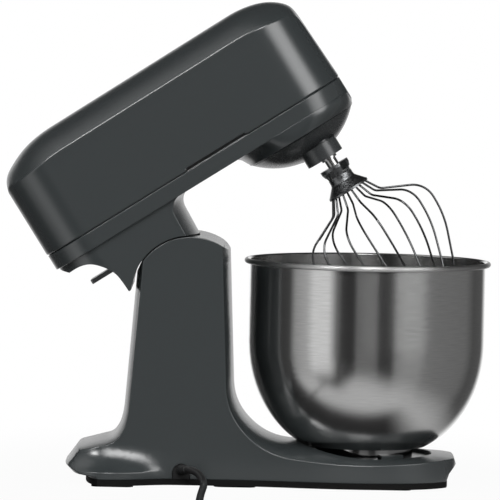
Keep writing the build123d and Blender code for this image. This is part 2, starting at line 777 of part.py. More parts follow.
with BuildPart() as head_lower_shell:
    extrude(head_outline(band_bottom_z, band_step), amount=split_z - band_bottom_z)
    add(dome_collar.part)
    add(neck_form(0.0, band_bottom_z + 5))
    extrude(head_outline(floor_top_z, band_step + wall), amount=split_z, mode=Mode.SUBTRACT)
    dome_bore = disc(head_plan.offset(collar_low_z - 1), spindle_x, 0, dome_radius - 3)
    extrude(dome_bore, amount=band_bottom_z - collar_low_z + 1, mode=Mode.SUBTRACT)
    add(neck_form(wall, band_bottom_z), mode=Mode.SUBTRACT)
    reveal_low = split_z - reveal_height
    reveal = head_outline(reveal_low, 0) - head_outline(reveal_low, band_step + reveal_depth)
    extrude(reveal, amount=reveal_height, mode=Mode.SUBTRACT)
    wire_window = block(head_plan.offset(band_bottom_z - 1), -14, 0, 56, 52, 4)
    extrude(wire_window, amount=wall + 2, mode=Mode.SUBTRACT)
    bearing_hole = disc(head_plan.offset(band_bottom_z - 1), spindle_x, 0, bearing_radius + 1)
    extrude(bearing_hole, amount=wall + 2, mode=Mode.SUBTRACT)
    for side in (-1, 1):
        lug_plane = head_side.offset(-side * (lug_inner_y + lug_outer_y) / 2)
        with BuildSketch(lug_plane) as hinge_lug:
            Circle(lug_disc_radius)
            add(wedge(Plane.XY, 0, 0, neck_radius + wall, lug_stem_angle - lug_stem_spread,
                      lug_stem_angle + lug_stem_spread))
            Circle(neck_radius + wall / 2, mode=Mode.INTERSECT)
            Circle(bush_radius + press_gap, mode=Mode.SUBTRACT)
        extrude(hinge_lug.sketch, amount=(lug_outer_y - lug_inner_y) / 2, both=True)
    with BuildSketch(head_side) as tooth_window:
        add(wedge(Plane.XY, 0, 0, neck_radius + 2 * wall, tooth_angle - 7, tooth_angle + 7))
        Circle(neck_radius - 2, mode=Mode.SUBTRACT)
    extrude(tooth_window.sketch, amount=8, both=True, mode=Mode.SUBTRACT)
    lever_window = block(head_plan.offset(lever_z - 11), -52.5, 0, 19, lever_width + 3)
    extrude(lever_window, amount=17, mode=Mode.SUBTRACT)
    for side in (-1, 1):
        ear = disc(head_side.offset(side * 20), lever_pivot_x, lever_pivot_z, 6)
        extrude(ear, amount=side * 3)
        strut = block(head_side.offset(side * 20), lever_pivot_x, lever_pivot_z + 6, 12, 12)
        extrude(strut, amount=side * 3)
        tie_bar = block(head_plan.offset(lever_pivot_z + 10), lever_pivot_x, side * 41, 12, 42)
        extrude(tie_bar, amount=3)
    ear_bore = disc(head_side.offset(-40), lever_pivot_x, lever_pivot_z, lever_pin_radius + press_gap)
    extrude(ear_bore, amount=80, mode=Mode.SUBTRACT)
    for post_x, post_y in head_post_spots:
        extrude(disc(head_plan.offset(band_bottom_z + 1), post_x, post_y, 5.0), amount=split_z - band_bottom_z - 1)
        head_seat = disc(head_plan.offset(band_bottom_z - 20), post_x, post_y, screw_head_radius + 0.2)
        extrude(head_seat, amount=20 + screw_head_height, mode=Mode.SUBTRACT)
        shank_hole = disc(head_plan.offset(band_bottom_z), post_x, post_y, screw_radius + 0.1)
        extrude(shank_hole, amount=split_z - band_bottom_z, mode=Mode.SUBTRACT)
save(head_lower_shell, "head_lower_shell")

with BuildPart() as hinge_bushes:
    for side in (-1, 1):
        bush_plane = Plane.XZ.offset(side * lug_inner_y)
        extrude(disc(bush_plane, hinge_x, hinge_z, bush_radius, hinge_pin_radius + running_gap),
                amount=side * (lug_outer_y - lug_inner_y))
        extrude(disc(bush_plane, hinge_x, hinge_z, bush_radius + 2, hinge_pin_radius + running_gap),
                amount=-side * 1.5)
save(hinge_bushes, "hinge_bushes")

with BuildPart() as head_screws:
    for post_x, post_y in head_post_spots:
        screw_low = head_plan.offset(band_bottom_z + 0.5)
        extrude(disc(screw_low, post_x, post_y, screw_head_radius), amount=screw_head_height - 0.5)
        extrude(disc(screw_low, post_x, post_y, screw_radius), amount=split_z - band_bottom_z + 10)
save(head_screws, "head_screws")

# Release lever: a flat paddle behind the neck, with a tooth that drops between the latch stops
barrel_radius = 5.0
with BuildPart() as release_lever:
    paddle_length = lever_pivot_x - 6 - lever_tip_x
    paddle_low = head_plan.offset(lever_z - lever_thickness / 2)
    extrude(block(paddle_low, lever_tip_x + paddle_length / 2, 0, paddle_length, lever_width, 2),
            amount=lever_thickness)
    barrel = disc(head_side.offset(-18), lever_pivot_x, lever_pivot_z, barrel_radius)
    extrude(barrel, amount=36)
    with BuildSketch(head_side) as web_face:
        with BuildLine():
            Polyline((lever_pivot_x - 14, lever_z - 1.5), (lever_pivot_x - 4.5, lever_z - 1.1),
                     (lever_pivot_x + 4, lever_pivot_z - 2.5), (lever_pivot_x, lever_pivot_z + 4),
                     (lever_pivot_x - 14, lever_z + 1.5), close=True)
        make_face()
    extrude(web_face.sketch, amount=12, both=True)
    with BuildSketch(head_side) as tooth_face:
        with BuildLine():
            tooth_spread = math.degrees(tooth_half_width / tooth_reach)
            Polyline((lever_pivot_x, lever_pivot_z - 4.3),
                     head_polar(neck_radius + wall + 1.2, tooth_angle + tooth_spread + 1),
                     head_polar(tooth_reach, tooth_angle + tooth_spread),
                     head_polar(tooth_reach, tooth_angle - tooth_spread),
                     head_polar(lever_pivot_z + 3, tooth_angle - tooth_spread + 1),
                     (lever_pivot_x, lever_pivot_z + 4), close=True)
        make_face()
    extrude(tooth_face.sketch, amount=5, both=True)
    extrude(disc(head_side.offset(-40), lever_pivot_x, lever_pivot_z, lever_pin_radius + running_gap), amount=80,
            mode=Mode.SUBTRACT)
save(release_lever, "release_lever")

with BuildPart() as lever_pin:
    extrude(disc(head_side.offset(-24), lever_pivot_x, lever_pivot_z, lever_pin_radius), amount=48)
save(lever_pin, "lever_pin")

# Motor, upright over the neck
bracket_low_z = floor_top_z
bracket_thickness = 4.0
motor_ring = motor_radius - 1.8
pillar_circle = motor_radius + 6
motor_top_z = motor_high_z + 4
commutator_radius = 11.0
pillar_turns = [45, 135, 225, 315]

with BuildPart() as motor_lower_bracket:
    plate_z = head_plan.offset(bracket_low_z)
    extrude(block(plate_z, motor_x, 0, 80, 80, 8), amount=bracket_thickness)
    extrude(disc(plate_z, motor_x, 0, motor_radius, motor_ring), amount=motor_low_z - bracket_low_z)
    for turn in pillar_turns:
        pillar_x = motor_x + pillar_circle * math.cos(math.radians(turn))
        pillar_y = pillar_circle * math.sin(math.radians(turn))
        extrude(disc(plate_z, pillar_x, pillar_y, 4.0), amount=motor_top_z - bracket_low_z)
    extrude(disc(plate_z, motor_x, 0, motor_shaft_radius + running_gap), amount=bracket_thickness,
            mode=Mode.SUBTRACT)
save(motor_lower_bracket, "motor_lower_bracket")

with BuildPart() as motor_upper_bracket:
    plate_z = head_plan.offset(motor_top_z)
    extrude(disc(plate_z, motor_x, 0, pillar_circle + 5, motor_shaft_radius + running_gap),
            amount=bracket_thickness)
    extrude(disc(head_plan.offset(motor_high_z), motor_x, 0, motor_radius, motor_ring),
            amount=motor_top_z - motor_high_z)
save(motor_upper_bracket, "motor_upper_bracket")

with BuildPart() as motor_stator:
    stator_face = disc(head_plan.offset(motor_low_z), motor_x, 0, motor_radius, armature_radius + 1)
    extrude(stator_face, amount=motor_high_z - motor_low_z)
    for side in (-1, 1):
        coil_slot = block(head_plan.offset(motor_low_z), motor_x + side * 31, 0, 8, 30)
        extrude(coil_slot, amount=motor_high_z - motor_low_z, mode=Mode.SUBTRACT)
save(motor_stator, "motor_stator")

with BuildPart() as field_coils:
    for side in (-1, 1):
        coil_body = block(head_plan.offset(motor_low_z - 6), motor_x + side * 31, 0, 7.2, 29)
        extrude(coil_body, amount=motor_high_z - motor_low_z + 8)
save(field_coils, "field_coils")

with BuildPart() as brush_holders:
    for side in (-1, 1):
        brush_y = side * (commutator_radius + 0.3 + 10)
        holder = block(head_plan.offset(bracket_low_z + bracket_thickness), motor_x, brush_y, 9, 20)
        extrude(holder, amount=12)
save(brush_holders, "brush_holders")

with BuildPart() as motor_armature:
    extrude(disc(head_plan.offset(bracket_low_z + 0.5), motor_x, 0, motor_shaft_radius),
            amount=belt_z + belt_width + 2 - bracket_low_z)
    extrude(disc(head_plan.offset(motor_low_z + 2), motor_x, 0, armature_radius),
            amount=motor_high_z - motor_low_z - 4)
    extrude(disc(head_plan.offset(bracket_low_z + bracket_thickness + 0.5), motor_x, 0, commutator_radius),
            amount=11)
save(motor_armature, "motor_armature")

fan_z = motor_top_z + bracket_thickness + 0.6
with BuildPart() as motor_fan:
    fan_plane = head_plan.offset(fan_z)
    extrude(disc(fan_plane, motor_x, 0, 32), amount=1.2)
    for turn in range(12):
        spin = math.radians(turn * 30)
        blade_forward = head_forward * math.cos(spin) + Vector(0, 1, 0) * math.sin(spin)
        blade_plane = Plane(fan_plane.from_local_coords(Vector(motor_x, 0, 0)), x_dir=blade_forward, z_dir=head_up)
        extrude(block(blade_plane, 22, 0, 19, 1.2), amount=4)
    extrude(disc(fan_plane, motor_x, 0, motor_shaft_radius + press_gap), amount=5, mode=Mode.SUBTRACT)
save(motor_fan, "motor_fan")

with BuildPart() as motor_pulley:
    pulley_plane = head_plan.offset(belt_z)
    extrude(disc(pulley_plane, motor_x, 0, motor_pulley_radius, motor_shaft_radius + press_gap), amount=belt_width)
    for flange_z in (belt_z - 1.2, belt_z + belt_width):
        extrude(disc(head_plan.offset(flange_z), motor_x, 0, motor_pulley_radius + 3,
                     motor_shaft_radius + press_gap), amount=1.2)
save(motor_pulley, "motor_pulley")


def belt_loop(grow):
    with BuildSketch(head_plan.offset(belt_z + 0.5)) as face:
        with BuildLine() as circles:
            with Locations((motor_x, 0)):
                CenterArc((0, 0), motor_pulley_radius + grow, 0, 360)
            with Locations((spindle_x, 0)):
                CenterArc((0, 0), driven_pulley_radius + grow, 0, 360)
        make_hull(circles.edges())
    return face.sketch


with BuildPart() as drive_belt:
    extrude(belt_loop(running_gap + belt_thickness), amount=belt_width - 1)
    extrude(belt_loop(running_gap), amount=belt_width - 1, mode=Mode.SUBTRACT)
save(drive_belt, "drive_belt")


# Gears: involute flanks on three points, thinned for backlash
def involute(radius, base):
    tilt = math.acos(min(1.0, base / radius))
    return math.tan(tilt) - tilt


def gear_face(plane, x, y, teeth, module, share, turn, high, low):
    pitch_radius = module * teeth / 2
    base = pitch_radius * math.cos(math.radians(pressure_angle))
    half = share * math.pi / teeth + involute(pitch_radius, base)
    radii = [pitch_radius - low * module, pitch_radius, pitch_radius + high * module]
    points = []
    for tooth in range(teeth):
        middle = math.radians(turn) + 2 * math.pi * tooth / teeth
        flank = [(radius, half - involute(max(radius, base), base)) for radius in radii]
        outline = [(radius, middle - spread) for radius, spread in flank]
        outline += [(radius, middle + spread) for radius, spread in reversed(flank)]
        for radius, angle in outline:
            points.append((x + radius * math.cos(angle), y + radius * math.sin(angle)))
    with BuildSketch(plane) as face:
        with BuildLine():
            Polyline(*points, close=True)
        make_face()
    return face.sketch


tooth_high = 0.9
tooth_low = 1.2
case_wall = 3.0
wheel_reach = gear_module * (wheel_teeth / 2 + tooth_high)
case_radius = wheel_reach + 1.4 + case_wall
case_low_z = floor_top_z
case_high_z = 132.0
layshaft_x = spindle_x - gear_centres
low_mesh_z = 98.0
high_mesh_z = 112.0
gear_width = 8.0
mesh_turn = 180 / wheel_teeth


def case_outline(z, grow):
    with BuildSketch(head_plan.offset(z)) as face:
        with Locations(((spindle_x + layshaft_x) / 2, 0)):
            SlotCenterToCenter(gear_centres, 2 * (case_radius + grow))
    return face.sketch


with BuildPart() as gear_case:
    extrude(case_outline(case_low_z, 0), amount=case_high_z - case_low_z)
    extrude(case_outline(case_low_z + 4, -case_wall), amount=case_high_z, mode=Mode.SUBTRACT)
    extrude(disc(head_plan.offset(case_low_z), spindle_x, 0, bearing_radius + 3), amount=bearing_height - 2)
    extrude(disc(head_plan.offset(case_low_z), spindle_x, 0, bearing_radius + press_gap), amount=bearing_height,
            mode=Mode.SUBTRACT)
    extrude(disc(head_plan.offset(case_low_z + 1), layshaft_x, 0, layshaft_radius + press_gap), amount=10,
            mode=Mode.SUBTRACT)
save(gear_case, "gear_case")

pulley_shaft_radius = 5.0
small_bearing_radius = 11.0
with BuildPart() as gear_case_cover:
    extrude(case_outline(case_high_z, 0), amount=4)
    extrude(disc(head_plan.offset(case_high_z - 5), spindle_x, 0, small_bearing_radius + 3), amount=13)
    extrude(disc(head_plan.offset(case_high_z - 5), spindle_x, 0, small_bearing_radius + press_gap), amount=13,
            mode=Mode.SUBTRACT)
    extrude(disc(head_plan.offset(case_high_z), layshaft_x, 0, layshaft_radius + press_gap), amount=4,
            mode=Mode.SUBTRACT)
save(gear_case_cover, "gear_case_cover")

with BuildPart() as bearings:
    extrude(disc(head_plan.offset(case_low_z - 2), spindle_x, 0, bearing_radius, spindle_radius + running_gap),
            amount=bearing_height)
    extrude(disc(head_plan.offset(case_high_z - 4), spindle_x, 0, small_bearing_radius,
                 pulley_shaft_radius + running_gap), amount=11)
save(bearings, "bearings")

with BuildPart() as layshaft_pin:
    extrude(disc(head_plan.offset(case_low_z + 1), layshaft_x, 0, layshaft_radius),
            amount=case_high_z + 3 - case_low_z)
save(layshaft_pin, "layshaft_pin")

with BuildPart() as layshaft_gears:
    extrude(gear_face(head_plan.offset(low_mesh_z - 2), layshaft_x, 0, pinion_teeth, gear_module, tooth_share, 0,
                      tooth_high, tooth_low), amount=high_mesh_z - low_mesh_z + 2)
    extrude(gear_face(head_plan.offset(high_mesh_z), layshaft_x, 0, wheel_teeth, gear_module, tooth_share, mesh_turn,
                      tooth_high, tooth_low), amount=gear_width)
    extrude(disc(head_plan.offset(case_low_z + 4), layshaft_x, 0, 6), amount=low_mesh_z - case_low_z - 4)
    extrude(disc(head_plan.offset(high_mesh_z), layshaft_x, 0, 8), amount=case_high_z - 0.3 - high_mesh_z)
    extrude(disc(head_plan.offset(case_low_z), layshaft_x, 0, layshaft_radius + running_gap), amount=60,
            mode=Mode.SUBTRACT)
save(layshaft_gears, "layshaft_gears")

with BuildPart() as driven_pulley:
    extrude(disc(head_plan.offset(belt_z), spindle_x, 0, driven_pulley_radius, driven_pulley_radius - 4),
            amount=belt_width)
    extrude(disc(head_plan.offset(belt_z + 3), spindle_x, 0, driven_pulley_radius - 2), amount=3)
    extrude(disc(head_plan.offset(case_high_z + 8), spindle_x, 0, 10), amount=belt_z + belt_width - case_high_z - 8)
    for turn in range(5):
        spin = math.radians(turn * 72)
        web_hole = disc(head_plan.offset(belt_z), spindle_x + 25 * math.cos(spin), 25 * math.sin(spin), 9)
        extrude(web_hole, amount=belt_width, mode=Mode.SUBTRACT)
    extrude(disc(head_plan.offset(high_mesh_z), spindle_x, 0, pulley_shaft_radius), amount=belt_z - high_mesh_z)
    extrude(gear_face(head_plan.offset(high_mesh_z - 1), spindle_x, 0, pinion_teeth, gear_module, tooth_share, 180,
                      tooth_high, tooth_low), amount=gear_width + 2)
save(driven_pulley, "driven_pulley")

# Planet drive: the spindle turns the dome, and the tool's planet gear rolls in the fixed ring
ring_low_z = 72.0
ring_radius = dome_radius - 5
spindle_low_z = dome_top_z - dome_depth + 4

with BuildPart() as ring_gear:
    extrude(disc(head_plan.offset(ring_low_z), spindle_x, 0, ring_radius), amount=band_bottom_z - ring_low_z)
    extrude(gear_face(head_plan.offset(ring_low_z), spindle_x, 0, ring_teeth, planet_module, 1 - tooth_share,
                      tool_angle, tooth_low, tooth_high), amount=band_bottom_z - ring_low_z, mode=Mode.SUBTRACT)
save(ring_gear, "ring_gear")

with BuildPart() as spindle:
    extrude(disc(head_plan.offset(spindle_low_z), spindle_x, 0, spindle_radius),
            amount=low_mesh_z + gear_width + 2 - spindle_low_z)
    extrude(disc(head_plan.offset(case_low_z - 5), spindle_x, 0, spindle_radius + 3), amount=2.7)
save(spindle, "spindle")

with BuildPart() as spindle_gear:
    extrude(gear_face(head_plan.offset(low_mesh_z), spindle_x, 0, wheel_teeth, gear_module, tooth_share,
                      180 + mesh_turn, tooth_high, tooth_low), amount=gear_width)
    extrude(disc(head_plan.offset(case_low_z + bearing_height - 1.7), spindle_x, 0, 11), amount=3)
    extrude(disc(head_plan.offset(case_low_z), spindle_x, 0, spindle_radius + press_gap), amount=40,
            mode=Mode.SUBTRACT)
save(spindle_gear, "spindle_gear")

dome_apex_z = dome_top_z - dome_depth
boss_x = tool_x - 3.0
boss_y = tool_y + 1.5


def dome_cap(radius, depth, apex):
    ball = (radius ** 2 + depth ** 2) / (2 * depth)
    middle_radius = radius * 0.6
    middle_z = apex + ball - math.sqrt(ball ** 2 - middle_radius ** 2)
    with BuildSketch(head_side) as face:
        with BuildLine():
            ThreePointArc((spindle_x, apex), (spindle_x + middle_radius, middle_z), (spindle_x + radius, apex + depth))
            Polyline((spindle_x + radius, apex + depth), (spindle_x, apex + depth), (spindle_x, apex))
        make_face()
    return face.sketch


with BuildPart() as planet_dome:
    revolve(dome_cap(dome_radius, dome_depth, dome_apex_z), axis=head_axis(spindle_x, 0))
    revolve(dome_cap(dome_radius - wall, dome_depth - wall, dome_apex_z + wall), axis=head_axis(spindle_x, 0),
            mode=Mode.SUBTRACT)
    extrude(disc(head_plan.offset(dome_apex_z + 1), spindle_x, 0, 13), amount=dome_depth)
    extrude(disc(head_plan.offset(boss_low_z), boss_x, boss_y, boss_radius), amount=boss_high_z - boss_low_z + 5)
    extrude(disc(head_plan.offset(boss_low_z), tool_x, tool_y, tool_shaft_radius + 5),
            amount=dome_top_z - boss_low_z)
    extrude(disc(head_plan.offset(spindle_low_z), spindle_x, 0, spindle_radius + press_gap), amount=40,
            mode=Mode.SUBTRACT)
    extrude(disc(head_plan.offset(boss_low_z), tool_x, tool_y, tool_shaft_radius + running_gap), amount=60,
            mode=Mode.SUBTRACT)
save(planet_dome, "planet_dome")

shaft_low_z = hub_bottom_z + 6.5
planet_low_z = ring_low_z + 0.8
planet_width = 8.0
with BuildPart() as tool_shaft:
    extrude(disc(head_plan.offset(shaft_low_z), tool_x, tool_y, tool_shaft_radius),
            amount=planet_low_z + planet_width + 1 - shaft_low_z)
    extrude(disc(head_plan.offset(boss_low_z - 2.3), tool_x, tool_y, tool_shaft_radius + 2), amount=2)
    pin_plane = Plane(head_plan.from_local_coords(Vector(tool_x, tool_y, cross_pin_z)), x_dir=head_up,
                      z_dir=head_forward)
    extrude(disc(pin_plane, 0, 0, cross_pin_radius + press_gap), amount=20, both=True, mode=Mode.SUBTRACT)
save(tool_shaft, "tool_shaft")

with BuildPart() as cross_pin:
    extrude(disc(pin_plane, 0, 0, cross_pin_radius), amount=hub_waist_radius - 0.4, both=True)
save(cross_pin, "cross_pin")

with BuildPart() as planet_gear:
    extrude(gear_face(head_plan.offset(planet_low_z), tool_x, tool_y, planet_teeth, planet_module, tooth_share,
                      tool_angle, tooth_high, tooth_low), amount=planet_width)
    extrude(disc(head_plan.offset(planet_low_z), tool_x, tool_y, tool_shaft_radius + press_gap),
            amount=planet_width, mode=Mode.SUBTRACT)
    extrude(disc(head_plan.offset(dome_top_z + 0.3), tool_x, tool_y, tool_shaft_radius + 3,
                 tool_shaft_radius + press_gap), amount=planet_low_z - dome_top_z - 0.3)
save(planet_gear, "planet_gear")

# Whisk: a waisted hub on a bayonet socket, and nested wire loops
tool_point = head_plan.from_local_coords(Vector(tool_x, tool_y, 0))
tool_frame = Plane(tool_point, x_dir=head_forward, z_dir=head_up)
socket_radius = tool_shaft_radius + running_gap
slot_half = cross_pin_radius + 0.3
leg_top = (hub_bottom_radius - 5, hub_bottom_z + 4)
shoulder = (hub_bottom_radius + 5.5, -9)


def leg_turn(leg):
    return math.radians(whisk_phase + leg * 180 / whisk_loops)


def leg_start(leg):
    return (leg_top[0] * math.cos(leg_turn(leg)), leg_top[0] * math.sin(leg_turn(leg)), leg_top[1])


def leg_shoulder(leg):
    return (shoulder[0] * math.cos(leg_turn(leg)), shoulder[0] * math.sin(leg_turn(leg)), shoulder[1])


with BuildPart() as whisk_hub:
    with BuildSketch(Plane(tool_point, x_dir=head_forward, z_dir=(0, -1, 0))):
        with BuildLine():
            Polyline((0, hub_bottom_z), (hub_bottom_radius, hub_bottom_z), (hub_bottom_radius, hub_bottom_z + 2),
                     (hub_bottom_radius - 1, hub_bottom_z + 2.8), (hub_waist_radius + 0.5, hub_bottom_z + 10.5),
                     (hub_waist_radius, hub_bottom_z + 13), (hub_waist_radius, hub_top_z - 10),
                     (hub_top_radius, hub_top_z - 3), (hub_top_radius, hub_top_z), (0, hub_top_z), close=True)
        make_face()
    revolve(axis=Axis(tool_point, head_up))
    extrude(disc(tool_frame.offset(shaft_low_z - 0.3), 0, 0, socket_radius), amount=40, mode=Mode.SUBTRACT)
    slot_width = math.degrees(slot_half / socket_radius)
    for start in (0, 180):
        sweep_slot = wedge(tool_frame.offset(cross_pin_z - slot_half), 0, 0, hub_top_radius + 2,
                           start - whisk_twist - slot_width, start + slot_width)
        extrude(sweep_slot, amount=2 * slot_half, mode=Mode.SUBTRACT)
        entry_slot = wedge(tool_frame.offset(cross_pin_z - slot_half), 0, 0, hub_top_radius + 2,
                           start - whisk_twist - slot_width, start - whisk_twist + slot_width)
        extrude(entry_slot, amount=hub_top_z, mode=Mode.SUBTRACT)
    for leg in range(2 * whisk_loops):
        socket_top = tool_frame.from_local_coords(Vector(*leg_start(leg)))
        socket_end = tool_frame.from_local_coords(Vector(*leg_shoulder(leg)))
        socket_plane = Plane(socket_top, z_dir=socket_end - socket_top)
        extrude(disc(socket_plane, 0, 0, wire_radius + press_gap), amount=12, mode=Mode.SUBTRACT)
save(whisk_hub, "whisk_hub")

bulge_high_z = -27.0
bulge_low_z = -60.0
low_half = 37.0
wire_bends = [9, 22, 90, 50, 50, 90, 22, 9]

with BuildPart() as whisk_wires:
    for loop in range(whisk_loops):
        loop_low = whisk_low_z + loop * wire_step
        leg = [leg_top, shoulder, (whisk_radius - wire_radius, bulge_high_z),
               (whisk_radius - wire_radius, bulge_low_z), (low_half, loop_low)]
        mirrored = [(-x, z) for x, z in reversed(leg)]
        spin = leg_turn(loop)
        loop_forward = head_forward * math.cos(spin) + Vector(0, 1, 0) * math.sin(spin)
        loop_normal = loop_forward.cross(head_up)
        with BuildLine(Plane(tool_point, x_dir=loop_forward, z_dir=loop_normal)) as wire_path:
            FilletPolyline(*leg, *mirrored, radius=wire_bends)
        with BuildSketch(Plane(wire_path.line @ 0, z_dir=wire_path.line % 0)) as wire_section:
            Circle(wire_radius)
        sweep(sections=wire_section.sketch, path=wire_path.line)
save(whisk_wires, "whisk_wires")

# Cord: a gland in the notch, a run over the floor, a tied coil and a plug
gland_depth = 14.0
gland_nose = 4.0
with BuildPart() as cord_gland:
    gland_plane = Plane.XZ.offset(column_half - 1.0)
    with BuildSketch(gland_plane) as gland_face:
        with Locations((cord_exit_x, notch_z)):
            Circle(notch_width / 2 - 0.2)
        with Locations((cord_exit_x, notch_z)):
            Rectangle(notch_width - 0.4, notch_width, align=(Align.CENTER, Align.MAX))
        with Locations((cord_exit_x, plate_top + 0.1)):
            Rectangle(notch_width, notch_width, align=(Align.CENTER, Align.MAX), mode=Mode.SUBTRACT)
    extrude(gland_face.sketch, amount=-gland_depth)
    extrude(disc(gland_plane, cord_exit_x, cord_exit_z, cord_radius + 1.6), amount=gland_nose, taper=6)
    extrude(disc(Plane.XZ.offset(column_half - 8), cord_exit_x, cord_exit_z, cord_radius + press_gap), amount=40,
            mode=Mode.SUBTRACT)
save(cord_gland, "cord_gland")

coil_low_z = tie_thickness + cord_radius
coil_high_z = coil_low_z + coil_layer
coil_lead = 2 * cord_radius
run_points = [
    (cord_exit_x, -58, cord_exit_z),
    (cord_exit_x, -74, cord_exit_z),
    (-50.2, -82.5, 18.6),
    (-42.4, -89, 16.8),
    (-37.2, -96.5, 11.5),
    (-35.7, -104.5, 6.4),
    (-37.2, -117, 3.6),
    (coil_x - coil_radius, -180, 3.5),
    (coil_x - coil_radius, -292, coil_low_z),
    (coil_x - coil_radius, coil_y + coil_lead, coil_low_z),
]


def run_bends(points):
    bends = []
    for before, corner, after in zip(points, points[1:], points[2:]):
        run_in = Vector(*corner) - Vector(*before)
        run_out = Vector(*after) - Vector(*corner)
        half_turn = math.radians(run_in.get_angle(run_out)) / 2
        bends.append(0.45 * min(run_in.length, run_out.length) / math.tan(half_turn))
    return bends


cord_bends = run_bends(run_points)
print("cord bend radii", [round(radius, 1) for radius in cord_bends])
with BuildPart() as power_cord:
    with BuildLine() as cord_path:
        FilletPolyline(*run_points, radius=cord_bends)
    with BuildSketch(Plane(cord_path.line @ 0, z_dir=cord_path.line % 0)):
        Circle(cord_radius)
    sweep(path=cord_path.line)
print("cord run length", round(cord_path.wires()[0].length, 1))
save(power_cord, "power_cord")


# The coil spirals in on the floor, climbs half a turn and spirals out on top
def coil_edges():
    turns = 2
    radii = [coil_radius - step * coil_pitch / 2 for step in range(2 * turns)]
    climb_radius = coil_radius - turns * coil_pitch
    side = -1
    x = coil_x - coil_radius
    start = Vector(x, coil_y + coil_lead, coil_low_z)
    edges = [("line", start, Vector(x, coil_y, coil_low_z))]
    for radius in radii:
        end_x = x - side * 2 * radius
        edges.append(("arc", (x, coil_low_z), ((x + end_x) / 2, side * radius), (end_x, coil_low_z)))
        x = end_x
        side = -side
    middle_reach = math.sqrt(climb_radius ** 2 + coil_layer ** 2 / 4)
    end_x = x - side * 2 * climb_radius
    edges.append(("climb", x, ((x + end_x) / 2, side * middle_reach), end_x))
    x = end_x
    side = -side
    for radius in reversed(radii[1:]):
        end_x = x - side * 2 * radius
        edges.append(("arc", (x, coil_high_z), ((x + end_x) / 2, side * radius), (end_x, coil_high_z)))
        x = end_x
        side = -side
    edges.append(("line", Vector(x, coil_y, coil_high_z), Vector(x, coil_y - coil_tail, coil_high_z)))
    return edges


coil_tail = coil_radius
with BuildPart() as cord_coil:
    with BuildLine() as coil_path:
        for kind, first, second, *third in coil_edges():
            if kind == "line":
                Line(first, second)
            elif kind == "arc":
                ThreePointArc((first[0], coil_y, first[1]), (second[0], coil_y + second[1], first[1]),
                              (third[0][0], coil_y, third[0][1]))
            else:
                middle = Vector(second[0], coil_y + second[1], (coil_low_z + coil_high_z) / 2)
                heading = Vector(0, second[1], 0)
                TangentArc(Vector(first, coil_y, coil_low_z), middle, tangent=heading)
                TangentArc(middle, Vector(third[0], coil_y, coil_high_z), tangent=coil_path.edges()[-1] % 1)
    with BuildSketch(Plane(coil_path.line @ 0, z_dir=coil_path.line % 0)):
        Circle(cord_radius)
    sweep(path=coil_path.line)
save(cord_coil, "cord_coil")
coil_wire = coil_path.wires()[0]
coil_samples = [coil_wire.position_at(step / 600) for step in range(601)]
apart = int(4 * coil_radius * 600 / coil_wire.length)
near = min((coil_samples[i] - coil_samples[j]).length for i in range(601) for j in range(i + apart, 601))
print("coil length", round(coil_wire.length, 1), "least gap", round(near - 2 * cord_radius, 2))

tie_width = 6.0
with BuildPart() as cord_tie:
    tie_left = coil_x + coil_radius - 2 * coil_pitch - cord_radius - 0.4
    tie_right = coil_x + coil_radius + cord_radius + 0.4
    tie_high = coil_high_z + cord_radius + 0.4
    tie_middle = (tie_left + tie_right) / 2
    tie_plane = Plane.XZ.offset(-coil_y - tie_width / 2)
    extrude(block(tie_plane, tie_middle, (tie_high + tie_thickness) / 2, tie_right - tie_left + 2 * tie_thickness,
                  tie_high + tie_thickness, 2), amount=tie_width)
    extrude(block(tie_plane, tie_middle, (tie_high + tie_thickness) / 2, tie_right - tie_left,
                  tie_high - tie_thickness, 1), amount=tie_width, mode=Mode.SUBTRACT)
save(cord_tie, "cord_tie")

plug_length = 36.0
plug_width = 35.0
plug_pin_radius = 2.0
plug_pin_length = 19.0
plug_pin_spread = 19.0
with BuildPart() as mains_plug:
    plug_x = coil_x - coil_radius
    plug_y = coil_y - coil_tail
    plug_plane = Plane.XZ.offset(-plug_y)
    extrude(block(plug_plane, plug_x, coil_high_z, plug_width, 2 * coil_high_z, 7), amount=plug_length)
    fillet(mains_plug.edges().filter_by(Axis.Y, reverse=True), radius=2)
    with Locations((plug_x - plug_pin_spread / 2, plug_y - plug_length, coil_high_z),
                   (plug_x + plug_pin_spread / 2, plug_y - plug_length, coil_high_z)):
        Cylinder(plug_pin_radius, plug_pin_length, rotation=(90, 0, 0),
                 align=(Align.CENTER, Align.CENTER, Align.MIN))
save(mains_plug, "mains_plug")
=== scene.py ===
import math

import bpy
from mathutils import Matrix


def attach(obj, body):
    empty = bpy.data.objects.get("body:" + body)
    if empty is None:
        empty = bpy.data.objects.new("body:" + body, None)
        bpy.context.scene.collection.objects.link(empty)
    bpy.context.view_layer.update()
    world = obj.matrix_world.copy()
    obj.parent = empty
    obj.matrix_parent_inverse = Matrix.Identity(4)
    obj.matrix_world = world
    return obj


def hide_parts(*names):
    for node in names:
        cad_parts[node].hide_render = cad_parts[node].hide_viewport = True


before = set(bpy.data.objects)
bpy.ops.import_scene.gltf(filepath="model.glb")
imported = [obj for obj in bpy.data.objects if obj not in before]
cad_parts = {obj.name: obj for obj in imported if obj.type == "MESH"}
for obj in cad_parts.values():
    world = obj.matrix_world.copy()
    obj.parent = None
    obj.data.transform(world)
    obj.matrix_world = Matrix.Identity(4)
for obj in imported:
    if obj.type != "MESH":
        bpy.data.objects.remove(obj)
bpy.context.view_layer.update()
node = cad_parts

# Viewpoint: a long lens four metres in front of the mixer's near side, a little above it and
# tipped down, turned by about a degree as the photograph is.
bpy.ops.object.select_all(action="DESELECT")
camera_place = (0.0016, -4.0, 0.435)
camera_pitch = 3.17
camera_roll = 1.1
lens_length = 313.5
sensor_width = 36.0
far_clip = 50.0
